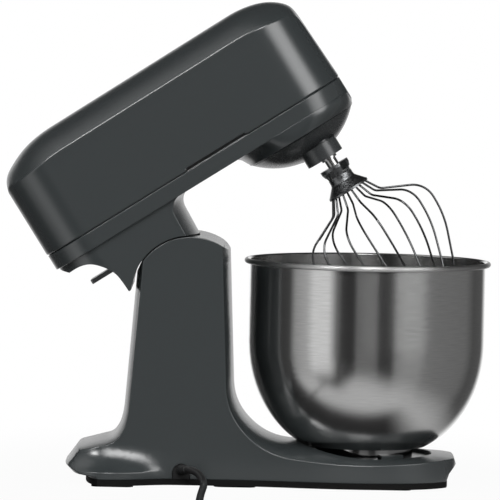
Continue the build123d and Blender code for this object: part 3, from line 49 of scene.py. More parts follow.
bpy.ops.object.camera_add(location=camera_place, rotation=(math.radians(90 - camera_pitch), 0, 0))
viewpoint = bpy.context.object
viewpoint.name = "viewpoint"
viewpoint.rotation_euler.rotate_axis("Z", math.radians(camera_roll))
viewpoint.data.lens = lens_length
viewpoint.data.sensor_width = sensor_width
viewpoint.data.clip_end = far_clip
bpy.context.scene.camera = viewpoint
bpy.context.scene.view_settings.view_transform = "Standard"


# Mains lead: a round black rubber-sheathed cord that leaves the notch in the base, drops to the
# worktop and runs to a tied two-layer coil. Ribbed sleeves guard it at the notch and at the plug,
# and the plug is a moulded body with two turned pins.
def new_finish(name, colour, roughness, metallic=0.0):
    material = bpy.data.materials.new(name)
    material.use_nodes = True
    shader = material.node_tree.nodes["Principled BSDF"]
    shader.inputs["Base Color"].default_value = (*colour, 1)
    shader.inputs["Roughness"].default_value = roughness
    shader.inputs["Metallic"].default_value = metallic
    material.diffuse_color = (*colour, 1)
    return material


def grain_group():
    group = bpy.data.node_groups.new("fine_grain", "ShaderNodeTree")
    for name, start in (("Grain Scale", 900.0), ("Cloud Scale", 14.0)):
        socket = group.interface.new_socket(name, in_out="INPUT", socket_type="NodeSocketFloat")
        socket.default_value = start
    for name in ("Height", "Cloud", "Speckle"):
        group.interface.new_socket(name, in_out="OUTPUT", socket_type="NodeSocketFloat")
    enter = group.nodes.new("NodeGroupInput")
    leave = group.nodes.new("NodeGroupOutput")
    place = group.nodes.new("ShaderNodeTexCoord")
    fine = group.nodes.new("ShaderNodeTexNoise")
    fine.inputs["Detail"].default_value = 3.0
    cloud = group.nodes.new("ShaderNodeTexNoise")
    cloud.inputs["Detail"].default_value = 4.0
    link = group.links.new
    link(place.outputs["Object"], fine.inputs["Vector"])
    link(place.outputs["Object"], cloud.inputs["Vector"])
    link(enter.outputs["Grain Scale"], fine.inputs["Scale"])
    link(enter.outputs["Cloud Scale"], cloud.inputs["Scale"])
    link(fine.outputs["Fac"], leave.inputs["Height"])
    link(cloud.outputs["Fac"], leave.inputs["Cloud"])
    spots = group.nodes.new("ShaderNodeMapRange")
    spots.inputs["From Min"].default_value = 0.35
    spots.inputs["From Max"].default_value = 0.7
    link(fine.outputs["Fac"], spots.inputs["Value"])
    link(spots.outputs["Result"], leave.inputs["Speckle"])
    return group


fine_grain = grain_group()


def grained_finish(name, dark, light, roughness, grain, depth, metallic=0.0, cloud=14.0, edge=0.0):
    material = new_finish(name, light, roughness[0], metallic)
    nodes = material.node_tree.nodes
    link = material.node_tree.links.new
    shader = nodes["Principled BSDF"]
    skin = nodes.new("ShaderNodeGroup")
    skin.node_tree = fine_grain
    skin.inputs["Grain Scale"].default_value = grain
    skin.inputs["Cloud Scale"].default_value = cloud
    tone = nodes.new("ShaderNodeMix")
    tone.data_type = "RGBA"
    tone.inputs["A"].default_value = (*dark, 1)
    tone.inputs["B"].default_value = (*light, 1)
    link(skin.outputs["Cloud"], tone.inputs["Factor"])
    link(tone.outputs["Result"], shader.inputs["Base Color"])
    gloss = nodes.new("ShaderNodeMapRange")
    gloss.inputs["To Min"].default_value = roughness[0]
    gloss.inputs["To Max"].default_value = roughness[1]
    link(skin.outputs["Speckle"], gloss.inputs["Value"])
    link(gloss.outputs["Result"], shader.inputs["Roughness"])
    relief = nodes.new("ShaderNodeBump")
    relief.inputs["Distance"].default_value = depth
    relief.inputs["Strength"].default_value = 0.6
    link(skin.outputs["Height"], relief.inputs["Height"])
    if edge:
        broken_edge = nodes.new("ShaderNodeBevel")
        broken_edge.samples = 6
        broken_edge.inputs["Radius"].default_value = edge
        link(broken_edge.outputs["Normal"], relief.inputs["Normal"])
    link(relief.outputs["Normal"], shader.inputs["Normal"])
    return material


def dress(names, material):
    for name in names:
        node[name].data.materials.clear()
        node[name].data.materials.append(material)


sheath = grained_finish("black_sheath", (0.008, 0.008, 0.008), (0.016, 0.016, 0.017), (0.28, 0.42), 1400,
                        0.00006)
cord_diameter = 0.0068
cord_exit = (-0.057, -0.058, 0.016)
coil_centre = (0.0035, -0.336)
coil_reach = 0.042
coil_pitch = 0.0075
coil_low = 0.0046
coil_high = 0.0119
coil_steps = 16
lower_turns = 2.0
climbing_turns = 0.5
upper_turns = 1.5
curve_pull = 0.75
coil_left = coil_centre[0] - coil_reach
cord_run = [
    cord_exit, (-0.057, -0.074, 0.016), (-0.0502, -0.0825, 0.0186), (-0.0424, -0.089, 0.0168),
    (-0.0372, -0.0965, 0.0115), (-0.0357, -0.1045, 0.0064), (-0.0372, -0.117, 0.0036),
    (coil_left, -0.18, 0.0035), (coil_left, -0.292, coil_low), (coil_left, -0.3292, coil_low),
]


def coil_point(turn, radius, height):
    angle = math.pi + 2 * math.pi * turn
    widened = radius / math.cos(math.pi / coil_steps) ** curve_pull
    return (coil_centre[0] + widened * math.cos(angle), coil_centre[1] + widened * math.sin(angle), height)


def coil_turn_points():
    points = []
    inner_reach = coil_reach - coil_pitch * lower_turns
    for step in range(int(lower_turns * coil_steps) + 1):
        turn = step / coil_steps
        points.append(coil_point(turn, coil_reach - coil_pitch * turn, coil_low))
    for step in range(1, int(climbing_turns * coil_steps)):
        turn = step / coil_steps
        climb = 0.5 - 0.5 * math.cos(math.pi * turn / climbing_turns)
        points.append(coil_point(lower_turns + turn, inner_reach, coil_low + (coil_high - coil_low) * climb))
    for step in range(int(upper_turns * coil_steps) + 1):
        turn = step / coil_steps
        wound = lower_turns + climbing_turns + turn
        points.append(coil_point(wound, inner_reach + coil_pitch * turn, coil_high))
    return points


plug_y = coil_centre[1] - coil_reach
tail_steps = 3
lead_line = bpy.data.curves.new("mains_lead", "CURVE")
lead_line.dimensions = "3D"
lead_line.resolution_u = 8
tail = [(coil_left, coil_centre[1] - coil_reach * step / tail_steps, coil_high)
        for step in range(1, tail_steps + 1)]
route = cord_run + coil_turn_points() + tail
spline = lead_line.splines.new("NURBS")
spline.points.add(len(route) - 1)
for point, place in zip(spline.points, route):
    point.co = (*place, 1)
spline.order_u = 3
spline.use_endpoint_u = True
mains_lead = bpy.data.objects.new("mains_lead", lead_line)
bpy.context.scene.collection.objects.link(mains_lead)
bare_line = bpy.data.meshes.new_from_object(mains_lead)
lead_points = [corner.co.copy() for corner in bare_line.vertices]
lead_line.bevel_depth = cord_diameter / 2
lead_line.bevel_resolution = 6
lead_line.use_fill_caps = True
mains_lead.data.materials.append(sheath)


sleeve_stations = 33
plain_stations = 3
rib_spacing = 4
rib_depth = 0.00045
sleeve_tip = 0.0041


def guard_sleeve(name, points, length, wide):
    line = bpy.data.curves.new(name, "CURVE")
    line.dimensions = "3D"
    line.bevel_depth = 1.0
    line.bevel_resolution = 6
    line.use_fill_caps = True
    walk = [0.0]
    for before, after in zip(points, points[1:]):
        walk.append(walk[-1] + (after - before).length)
    sleeve = line.splines.new("POLY")
    sleeve.points.add(sleeve_stations - 1)
    for index in range(sleeve_stations):
        share = index / (sleeve_stations - 1)
        along = length * share
        last = max(k for k in range(len(walk) - 1) if walk[k] <= along)
        place = points[last].lerp(points[last + 1], (along - walk[last]) / (walk[last + 1] - walk[last]))
        grooved = index > plain_stations and index % rib_spacing < rib_spacing / 2
        sleeve.points[index].co = (*place, 1)
        sleeve.points[index].radius = wide + (sleeve_tip - wide) * share - (rib_depth if grooved else 0)
    shape = bpy.data.objects.new(name, line)
    bpy.context.scene.collection.objects.link(shape)
    bpy.ops.object.select_all(action="DESELECT")
    shape.select_set(True)
    bpy.context.view_layer.objects.active = shape
    bpy.ops.object.convert(target="MESH")
    bpy.ops.object.shade_smooth_by_angle(angle=math.radians(50))
    return bpy.context.object


black_moulding = grained_finish("black_moulding", (0.007, 0.007, 0.0075), (0.011, 0.011, 0.0115), (0.36, 0.5),
                                1600, 0.00008, edge=0.0005)
notch_sleeve = guard_sleeve("cord_guard", lead_points, length=0.024, wide=0.0053)
plug_sleeve = guard_sleeve("plug_guard", lead_points[::-1], length=0.022, wide=0.0052)
for sleeve in (notch_sleeve, plug_sleeve):
    sleeve.data.materials.append(black_moulding)
    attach(sleeve, "stand")

plug_width = 0.035
plug_height = 0.0238
plug_length = 0.036
plug_taper = (0.62, 1, 0.66)
plug_cuts = 5
plug_edge = 0.0016
grip_near = plug_y - 0.008
grip_far = plug_y - 0.024
grip_half_height = 0.007
dimple_margin = 0.0008
dimple_depth = 0.0009
bpy.ops.object.select_all(action="DESELECT")
bpy.ops.mesh.primitive_cube_add(size=1, location=(coil_left, plug_y - plug_length / 2, plug_height / 2),
                                scale=(plug_width, plug_length, plug_height))
plug_body = bpy.context.object
plug_body.name = "plug_body"
bpy.ops.object.transform_apply(location=True, rotation=True, scale=True)


def choose_faces(mesh, wanted):
    bpy.ops.object.mode_set(mode="EDIT")
    bpy.ops.mesh.select_mode(type="FACE")
    bpy.ops.mesh.select_all(action="DESELECT")
    bpy.ops.object.mode_set(mode="OBJECT")
    for face in mesh.polygons:
        face.select = wanted(face)
    bpy.ops.object.mode_set(mode="EDIT")


choose_faces(plug_body.data, lambda face: face.normal.y > 0.9)
bpy.ops.transform.resize(value=plug_taper, center_override=(coil_left, plug_y, plug_height / 2))
bpy.ops.mesh.select_all(action="SELECT")
bpy.ops.mesh.subdivide(number_cuts=plug_cuts)
choose_faces(plug_body.data, lambda face: abs(face.normal.x) > 0.6 and grip_far < face.center.y < grip_near
             and abs(face.center.z - plug_height / 2) < grip_half_height)
bpy.ops.mesh.inset(thickness=dimple_margin, depth=-dimple_depth, use_individual=True)
bpy.ops.object.mode_set(mode="OBJECT")
soften = plug_body.modifiers.new("rounded_edges", "BEVEL")
soften.width = plug_edge
soften.segments = 3
soften.limit_method = "ANGLE"
soften.angle_limit = math.radians(35)
bpy.ops.object.modifier_apply(modifier="rounded_edges")
bpy.ops.object.shade_smooth_by_angle(angle=math.radians(40))
plug_body.data.materials.append(black_moulding)
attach(plug_body, "stand")
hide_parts("mains_plug")

pin_metal = grained_finish("pin_metal", (0.5, 0.47, 0.38), (0.62, 0.58, 0.47), (0.2, 0.3), 1500, 0.00002, 1.0)
plug_face_y = plug_y - plug_length
pin_spread = 0.0095
pin_radius = 0.002
pin_length = 0.019
pin_seat = 0.002
tip_share = 0.45
tip_length = 0.0008
tip_edge = 0.0006
for side in (-1, 1):
    bpy.ops.object.select_all(action="DESELECT")
    bpy.ops.mesh.primitive_cylinder_add(
        vertices=32, radius=pin_radius, depth=pin_length + pin_seat, rotation=(math.pi / 2, 0, 0),
        location=(coil_left + side * pin_spread, plug_face_y + (pin_seat - pin_length) / 2, plug_height / 2))
    bpy.ops.object.transform_apply(location=True, rotation=True, scale=True)
    pin = bpy.context.object
    pin.name = "plug_pin_left" if side < 0 else "plug_pin_right"
    choose_faces(pin.data, lambda face: face.normal.y < -0.9)
    bpy.ops.mesh.inset(thickness=pin_radius * tip_share, depth=0)
    bpy.ops.transform.translate(value=(0, -tip_length, 0))
    bpy.ops.object.mode_set(mode="OBJECT")
    tip = pin.modifiers.new("turned_tip", "BEVEL")
    tip.width = tip_edge
    tip.segments = 3
    tip.limit_method = "ANGLE"
    bpy.ops.object.modifier_apply(modifier="turned_tip")
    bpy.ops.object.shade_smooth_by_angle(angle=math.radians(40))
    pin.data.materials.append(pin_metal)
    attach(pin, "stand")

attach(mains_lead, "stand")
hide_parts("power_cord", "cord_coil")

# Stand: base and column cast in one piece and sprayed a half-gloss dark grey, with slightly broken edges
# that catch the light. The bowl's seat plate has the same coat.
grey_coat = grained_finish("grey_enamel", (0.0358, 0.0415, 0.043), (0.037, 0.0428, 0.0443), (0.23, 0.26), 700,
                           0.00002, edge=0.0009)
enamel = grey_coat.node_tree.nodes["Principled BSDF"]
enamel.inputs["Specular IOR Level"].default_value = 0.86
dress(["stand_housing", "bowl_seat"], grey_coat)
merge_distance = 0.000002
flat_within = math.radians(0.4)
sharp_above = math.radians(40)


def broken_edges(name, body, width, shortest):
    shape = bpy.data.objects.new(name + "_finished", node[name].data.copy())
    bpy.context.scene.collection.objects.link(shape)
    bpy.ops.object.select_all(action="DESELECT")
    shape.select_set(True)
    bpy.context.view_layer.objects.active = shape
    if shape.data.has_custom_normals:
        bpy.ops.mesh.customdata_custom_splitnormals_clear()
    bpy.ops.object.mode_set(mode="EDIT")
    bpy.ops.mesh.select_mode(type="VERT")
    bpy.ops.mesh.select_all(action="SELECT")
    bpy.ops.mesh.remove_doubles(threshold=merge_distance)
    bpy.ops.mesh.dissolve_limited(angle_limit=flat_within)
    bpy.ops.mesh.select_mode(type="EDGE")
    bpy.ops.mesh.select_all(action="DESELECT")
    bpy.ops.mesh.edges_select_sharp(sharpness=sharp_above)
    bpy.ops.object.mode_set(mode="OBJECT")
    corners = shape.data.vertices
    weight = shape.data.attributes.new("bevel_weight_edge", "FLOAT", "EDGE")
    for edge in shape.data.edges:
        start, end = edge.vertices
        lengthy = (corners[end].co - corners[start].co).length > shortest
        weight.data[edge.index].value = 1.0 if edge.select and lengthy else 0.0
    soften = shape.modifiers.new("broken_edge", "BEVEL")
    soften.width = width
    soften.segments = 3
    soften.limit_method = "WEIGHT"
    soften.use_clamp_overlap = False
    bpy.ops.object.modifier_apply(modifier="broken_edge")
    bpy.ops.object.shade_smooth_by_angle(angle=sharp_above)
    shape.modifiers.new("flat_faces", "WEIGHTED_NORMAL").keep_sharp = True
    bpy.ops.object.modifier_apply(modifier="flat_faces")
    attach(shape, body)
    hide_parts(name)
    return shape


broken_edges("stand_housing", "stand", width=0.0006, shortest=0.0016)

# Base plate, gland, switch and tie: black moulded plastic with a fine spark-eroded grain, the plate duller
# than the rest and painted near black, painted shade for the shadow under the base.
plate_black_painted_dark = grained_finish("plate_black_painted_dark", (0.003, 0.003, 0.003), (0.005, 0.005, 0.005), (0.55, 0.7), 1600,
                             0.00008)
plate_black_painted_dark.node_tree.nodes["Principled BSDF"].inputs["Specular IOR Level"].default_value = 0.15
dress(["base_plate"], plate_black_painted_dark)
dress(["cord_gland", "speed_switch", "cord_tie", "mains_plug"], black_moulding)
dress(["power_cord", "cord_coil"], sheath)

# Feet and drive belt: soft black moulded rubber. The feet are pads set in the plate, and the belt is an
# endless loop over the motor pulley and the driven pulley.
foot_rubber = grained_finish("foot_rubber", (0.005, 0.005, 0.005), (0.009, 0.009, 0.009), (0.7, 0.85), 700,
                             0.0001)
foot_rubber.node_tree.nodes["Principled BSDF"].inputs["Specular IOR Level"].default_value = 0.2
dress(["rubber_feet", "drive_belt"], foot_rubber)

# Screws, pins, shafts and brackets: turned and pressed steel with a fine grain. They hinge the head, hold
# the casings together and carry the drive.
turned_steel = grained_finish("turned_steel", (0.36, 0.36, 0.36), (0.5, 0.5, 0.49), (0.22, 0.36), 1500,
                              0.00002, 1.0)
dress(["base_screws", "seat_screws", "hinge_bracket", "bracket_screws", "hinge_pin", "latch_sector",
       "head_screws", "lever_pin", "bearings", "layshaft_pin", "spindle", "tool_shaft", "cross_pin",
       "motor_pulley"], turned_steel)

# Bowl: spun stainless steel, brushed round its axis, with a rolled satin rim. Its polished collar has the
# bayonet lugs;
# the collar's steel is painted dim, painted shade for the dark surroundings it mirrors.
bowl_axis = (0.1101, 0.0, 0.0)
stroke_lines = 950.0
stroke_length = 7.0
rim_from, rim_to = 0.1098, 0.1106
rim_satin = 0.3


def math_step(tree, operation, first, second=None):
    step = tree.nodes.new("ShaderNodeMath")
    step.operation = operation
    for slot, value in enumerate((first, second)):
        if isinstance(value, (int, float)):
            step.inputs[slot].default_value = value
        elif value is not None:
            tree.links.new(value, step.inputs[slot])
    return step.outputs["Value"]


def brushed_bowl():
    material = new_finish("brushed_bowl_steel", (0.5, 0.5, 0.495), 0.2, 1.0)
    tree = material.node_tree
    nodes = tree.nodes
    link = tree.links.new
    shader = nodes["Principled BSDF"]
    shader.inputs["Anisotropic"].default_value = 0.85
    shader.inputs["Anisotropic Rotation"].default_value = 0.25
    place = nodes.new("ShaderNodeTexCoord")
    centre = nodes.new("ShaderNodeVectorMath")
    centre.operation = "SUBTRACT"
    centre.inputs[1].default_value = bowl_axis
    link(place.outputs["Object"], centre.inputs[0])
    split = nodes.new("ShaderNodeSeparateXYZ")
    link(centre.outputs["Vector"], split.inputs["Vector"])
    flat = nodes.new("ShaderNodeCombineXYZ")
    link(split.outputs["X"], flat.inputs["X"])
    link(split.outputs["Y"], flat.inputs["Y"])
    reach = nodes.new("ShaderNodeVectorMath")
    reach.operation = "LENGTH"
    link(flat.outputs["Vector"], reach.inputs[0])
    around = math_step(tree, "ARCTAN2", split.outputs["Y"], split.outputs["X"])
    along_wall = math_step(tree, "ADD", split.outputs["Z"], reach.outputs["Value"])
    join = nodes.new("ShaderNodeCombineXYZ")
    link(math_step(tree, "MULTIPLY", around, stroke_length), join.inputs["X"])
    link(math_step(tree, "MULTIPLY", along_wall, stroke_lines), join.inputs["Y"])
    strokes = nodes.new("ShaderNodeTexNoise")
    strokes.inputs["Scale"].default_value = 1.0
    strokes.inputs["Detail"].default_value = 3.0
    link(join.outputs["Vector"], strokes.inputs["Vector"])
    tone = nodes.new("ShaderNodeMix")
    tone.data_type = "RGBA"
    tone.inputs["A"].default_value = (0.5, 0.5, 0.497, 1)
    tone.inputs["B"].default_value = (0.66, 0.66, 0.655, 1)
    link(strokes.outputs["Fac"], tone.inputs["Factor"])
    link(tone.outputs["Result"], shader.inputs["Base Color"])
    gloss = nodes.new("ShaderNodeMapRange")
    gloss.inputs["To Min"].default_value = 0.15
    gloss.inputs["To Max"].default_value = 0.19
    link(strokes.outputs["Fac"], gloss.inputs["Value"])
    rim = nodes.new("ShaderNodeMapRange")
    rim.inputs["From Min"].default_value = rim_from
    rim.inputs["From Max"].default_value = rim_to
    rim.inputs["To Max"].default_value = rim_satin
    link(reach.outputs["Value"], rim.inputs["Value"])
    dulled = math_step(tree, "ADD", gloss.outputs["Result"], rim.outputs["Result"])
    link(dulled, shader.inputs["Roughness"])
    relief = nodes.new("ShaderNodeBump")
    relief.inputs["Distance"].default_value = 0.00001
    relief.inputs["Strength"].default_value = 0.5
    link(strokes.outputs["Fac"], relief.inputs["Height"])
    link(relief.outputs["Normal"], shader.inputs["Normal"])
    return material


dress(["bowl"], brushed_bowl())
# Painted shade: the collar's steel colour is kept dim to stand in for the dark surroundings it mirrors.
collar_steel_painted_dark = grained_finish("collar_steel_painted_dark", (0.3, 0.3, 0.3), (0.38, 0.38, 0.38), (0.06, 0.1), 1500,
                              0.000005, 1.0)
dress(["bowl_collar"], collar_steel_painted_dark)

# Head: an upper and a lower shell in the same enamel, screwed together along the split line. The lower
# shell's band leans in a little at the nose's corners, and a fairing runs from it down to the ring of the
# planet dome, upright at the sides and scooped behind. Sizes are in the head's own frame, from the hinge.
dress(["head_upper_shell", "head_lower_shell"], grey_coat)
broken_edges("head_upper_shell", "head", width=0.0015, shortest=0.0018)
lower_shell = broken_edges("head_lower_shell", "head", width=0.0004, shortest=0.0011)
hinge_place = (-0.0514, 0.1745)
head_lean = math.radians(32.7)
spindle_reach = 0.1615
band_half = 0.0665
band_front = 0.2185
band_corner = 0.0455
band_low = 0.082
band_high = 0.0972
band_rear_limit = 0.09
band_skin = 0.985
corner_lean_most = 0.0022
fairing_top = 0.0832
fairing_low = 0.07
fairing_skin = 0.00006
fairing_weld = 0.00001
fairing_round = 160
fairing_steps = 12
front_bulge = 2.5
scoop_hollow = 1.3
scoop_top = 0.08245
scoop_reach = 0.007
scoop_from = 84
scoop_spread = 44
ring_radius = 0.0548
ring_side = 0.0652
ring_inner = 0.0538


def head_point(forward, aside, up):
    x = hinge_place[0] + forward * math.cos(head_lean) - up * math.sin(head_lean)
    z = hinge_place[1] + forward * math.sin(head_lean) + up * math.cos(head_lean)
    return (x, aside, z)


def around_spindle(place):
    x = place.x - hinge_place[0]
    z = place.z - hinge_place[1]
    forward = x * math.cos(head_lean) + z * math.sin(head_lean) - spindle_reach
    up = z * math.cos(head_lean) - x * math.sin(head_lean)
    return math.atan2(place.y, forward), math.hypot(place.y, forward), up


def spindle_point(angle, reach, up):
    return head_point(spindle_reach + reach * math.cos(angle), reach * math.sin(angle), up)


def band_distance(angle):
    along = abs(math.cos(angle))
    aside = abs(math.sin(angle))
    if math.cos(angle) <= 0:
        return min(band_half / max(aside, 1e-6), band_rear_limit)
    corner_x = band_front - band_corner - spindle_reach
    corner_y = band_half - band_corner
    middle = corner_x * along + corner_y * aside
    spare = corner_x ** 2 + corner_y ** 2 - band_corner ** 2
    reach = middle + math.sqrt(max(middle ** 2 - spare, 0))
    if reach * along < corner_x:
        return band_half / aside
    if reach * aside < corner_y:
        return (band_front - spindle_reach) / along
    return reach


def scoop_share(angle):
    turn = abs(math.degrees(math.atan2(math.sin(angle), math.cos(angle))))
    share = min(max((turn - scoop_from) / scoop_spread, 0), 1)
    return share * share * (3 - 2 * share)


def corner_lean(angle):
    return corner_lean_most * math.sin(2 * angle) ** 2 if math.cos(angle) > 0 else 0.0


for corner in lower_shell.data.vertices:
    angle, reach, up = around_spindle(corner.co)
    on_band = band_low < up < band_high and reach > band_skin * band_distance(angle)
    if math.cos(angle) > 0 and on_band:
        reach -= corner_lean(angle) * (band_high - up) / (band_high - fairing_top)
        corner.co = spindle_point(angle, reach, up)

profile = [(step / fairing_steps, None) for step in range(fairing_steps + 1)]
profile += [(1.0, ring_inner), (0.0, ring_inner), (0.0, None)]
bpy.ops.object.select_all(action="DESELECT")
bpy.ops.mesh.primitive_circle_add(vertices=fairing_round, radius=1, location=(0, 0, 0))
fairing = bpy.context.object
fairing.name = "nose_fairing"
bpy.ops.object.mode_set(mode="EDIT")
bpy.ops.mesh.select_mode(type="VERT")
bpy.ops.mesh.select_all(action="SELECT")
for step in range(len(profile) - 1):
    bpy.ops.mesh.extrude_region_move()
bpy.ops.object.mode_set(mode="OBJECT")
for corner in fairing.data.vertices:
    drop, inner = profile[corner.index // fairing_round]
    angle = math.atan2(corner.co.y, corner.co.x)
    scoop = scoop_share(angle)
    ring = 1 / math.hypot(math.cos(angle) / ring_radius, math.sin(angle) / ring_side)
    outer = band_distance(angle) - corner_lean(angle) + fairing_skin
    outer += (min(outer, ring + scoop_reach) - outer) * scoop
    flank = (1 - scoop) * (1 - drop ** front_bulge) + scoop * (1 - drop) ** scoop_hollow
    reach = inner if inner else ring + (outer - ring) * flank
    high = fairing_top + (scoop_top - fairing_top) * scoop
    corner.co = spindle_point(angle, reach, high + (fairing_low - high) * drop)
bpy.ops.object.mode_set(mode="EDIT")
bpy.ops.mesh.select_all(action="SELECT")
bpy.ops.mesh.remove_doubles(threshold=fairing_weld)
bpy.ops.mesh.normals_make_consistent(inside=False)
bpy.ops.object.mode_set(mode="OBJECT")
bpy.ops.object.shade_smooth_by_angle(angle=math.radians(35))
fairing.data.materials.append(grey_coat)
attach(fairing, "head")

# Vent slots: a strip of dark sheet behind each vent slot, just inside the head's wall, is painted shade, so
# the slot is dark from end to end.
vent_shade = grained_finish("vent_shade", (0.009, 0.009, 0.01), (0.016, 0.016, 0.017), (0.8, 0.95), 900, 0.0002)
vent_from, vent_to = 0.0555, 0.1205
vent_low, vent_high = 0.0968, 0.1022
shade_inner, shade_outer = 0.0622, 0.0637
for hand, side in (("near", -1), ("far", 1)):
    bpy.ops.object.select_all(action="DESELECT")
    bpy.ops.mesh.primitive_cube_add(size=2, location=(0, 0, 0))
    shade_sheet = bpy.context.object
    shade_sheet.name = "vent_shade_sheet_" + hand
    for corner in shade_sheet.data.vertices:
        forward = vent_to if corner.co.x > 0 else vent_from
        aside = side * (shade_outer if corner.co.y * side > 0 else shade_inner)
        corner.co = head_point(forward, aside, vent_high if corner.co.z > 0 else vent_low)
    shade_sheet.data.materials.append(vent_shade)
    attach(shade_sheet, "head")

# Release lever and speed dial: brushed metal, broken at the edges. The dial's scale is printed in pale
# grey on the column's far wall, its numbers rising the way the dial turns.
lever_metal = grained_finish("lever_metal", (0.2, 0.205, 0.21), (0.28, 0.285, 0.29), (0.26, 0.38), 1300,
                             0.00003, 1.0, edge=0.0005)
dress(["release_lever", "speed_dial"], lever_metal)
scale_ink = grained_finish("scale_ink", (0.42, 0.43, 0.43), (0.5, 0.51, 0.51), (0.5, 0.6), 1500, 0.00001)
dial_centre = (-0.062, 0.118)
column_wall = 0.065
number_ring = 0.0285
number_size = 0.0062
tick_ring = 0.0245
tick_width = 0.0007
tick_length = 0.0028
ink_height = 0.0003
scale_marks = 13
mark_turn = math.radians(22.5)
scale_pieces = []
for mark in range(scale_marks):
    turn = mark * mark_turn
    aside = math.sin(turn)
    rise = math.cos(turn)
    bpy.ops.object.select_all(action="DESELECT")
    if mark % 2 == 0:
        place = (dial_centre[0] + number_ring * aside, column_wall, dial_centre[1] + number_ring * rise)
        bpy.ops.object.text_add(location=place, rotation=(math.pi / 2, 0, math.pi))
        number = bpy.context.object
        number.data.body = str(mark // 2)
        number.data.size = number_size
        number.data.align_x = "CENTER"
        number.data.align_y = "CENTER"
        number.data.extrude = ink_height
        bpy.ops.object.convert(target="MESH")
    else:
        place = (dial_centre[0] + tick_ring * aside, column_wall, dial_centre[1] + tick_ring * rise)
        bpy.ops.mesh.primitive_cube_add(size=1, location=place, rotation=(0, turn, 0),
                                        scale=(tick_width, 2 * ink_height, tick_length))
    bpy.ops.object.transform_apply(location=True, rotation=True, scale=True)
    scale_pieces.append(bpy.context.object)
bpy.ops.object.select_all(action="DESELECT")
for piece in scale_pieces:
    piece.select_set(True)
bpy.context.view_layer.objects.active = scale_pieces[1]
bpy.ops.object.join()
dial_scale = bpy.context.object
dial_scale.name = "dial_scale"
dial_scale.data.materials.clear()
dial_scale.data.materials.append(scale_ink)
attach(dial_scale, "stand")

# Planet dome: grey moulded plastic with a slight sheen. It turns with the spindle under the head's nose
# and carries the tool shaft round.
dome_plastic = grained_finish("dome_plastic", (0.043, 0.0465, 0.048), (0.051, 0.055, 0.0565), (0.22, 0.3),
                              1200, 0.00003, edge=0.0006)
dress(["planet_dome"], dome_plastic)

# Whisk: a rough cast alloy hub with a bayonet for the tool shaft's cross pin, and nested loops of drawn
# steel wire. Both are dark; the wire's near-black colour is painted shade for the dark surroundings it
# mirrors.
hub_alloy = grained_finish("hub_alloy", (0.13, 0.134, 0.138), (0.24, 0.245, 0.25), (0.24, 0.5), 620, 0.0004,
                           1.0, cloud=160.0)
dress(["whisk_hub"], hub_alloy)
# Painted shade: the wire's near-black colour stands in for the dark surroundings it mirrors.
wire_steel = grained_finish("wire_steel", (0.09, 0.092, 0.094), (0.14, 0.143, 0.146), (0.14, 0.24), 1800,
                            0.00001, 1.0)
dress(["whisk_wires"], wire_steel)

# Drive and electrics: cast alloy cases and brackets, cut steel gears, an iron motor with copper windings,
# and a nylon fan and driven pulley, all in the head. Brush holders and hinge bushes share the copper's
# finish, and the green circuit board is in the stand.
case_alloy = grained_finish("case_alloy", (0.42, 0.43, 0.44), (0.55, 0.56, 0.57), (0.4, 0.55), 800, 0.00012,
                            1.0)
dress(["gear_case", "gear_case_cover", "motor_lower_bracket", "motor_upper_bracket"], case_alloy)
gear_steel = grained_finish("gear_steel", (0.2, 0.2, 0.21), (0.3, 0.3, 0.31), (0.28, 0.4), 1400, 0.00003, 1.0)
dress(["layshaft_gears", "ring_gear", "spindle_gear", "planet_gear"], gear_steel)
motor_iron = grained_finish("motor_iron", (0.08, 0.08, 0.085), (0.14, 0.14, 0.145), (0.45, 0.6), 1000,
                            0.00008, 1.0)
dress(["motor_stator", "motor_armature"], motor_iron)
winding_copper = grained_finish("winding_copper", (0.36, 0.15, 0.06), (0.5, 0.23, 0.1), (0.3, 0.45), 1500,
                                0.0001, 1.0)
dress(["field_coils", "brush_holders", "hinge_bushes"], winding_copper)
pale_nylon = grained_finish("pale_nylon", (0.5, 0.48, 0.42), (0.6, 0.58, 0.52), (0.45, 0.6), 900, 0.00006)
dress(["motor_fan", "driven_pulley"], pale_nylon)
board_green = grained_finish("board_green", (0.012, 0.07, 0.03), (0.02, 0.11, 0.05), (0.35, 0.5), 900,
                             0.00004)
dress(["control_board"], board_green)

# Studio: a white worktop that keeps a faint shadow. The steel mirrors only the worktop close to the mixer,
# which mirror rays see as a painted glow, dimmed by a painted shadow under the mixer and painted shade left
# of the bowl.
bpy.ops.object.select_all(action="DESELECT")
bpy.ops.mesh.primitive_plane_add(size=30, location=(0, 0, 0))
floor = bpy.context.object
floor.name = "studio_floor"
floor_white = new_finish("floor_white", (0.28, 0.28, 0.28), 0.9)
worktop = floor_white.node_tree
mixer_centre = (0.04, -0.1, 0.0)
mirrored_to, mirrored_none = 0.13, 0.32
white_near, white_far = 0.25, 0.7
least_white = 0.96
mirrored_tone = 0.65
painted_shade_depth = 0.62
under_beside, under_forward = (0.15, 0.11), (0.22, 0.14)
left_beside, left_forward = (0.19, 0.23), (0.06, -0.02)


def fade_step(tree, value, off, full):
    step = tree.nodes.new("ShaderNodeMapRange")
    step.interpolation_type = "SMOOTHSTEP"
    step.inputs["From Min"].default_value = off
    step.inputs["From Max"].default_value = full
    tree.links.new(value, step.inputs["Value"])
    return step.outputs["Result"]


def mix_shaders(tree, share, first, second):
    step = tree.nodes.new("ShaderNodeMixShader")
    for slot, value in enumerate((share, first, second)):
        tree.links.new(value, step.inputs[slot])
    return step.outputs["Shader"]


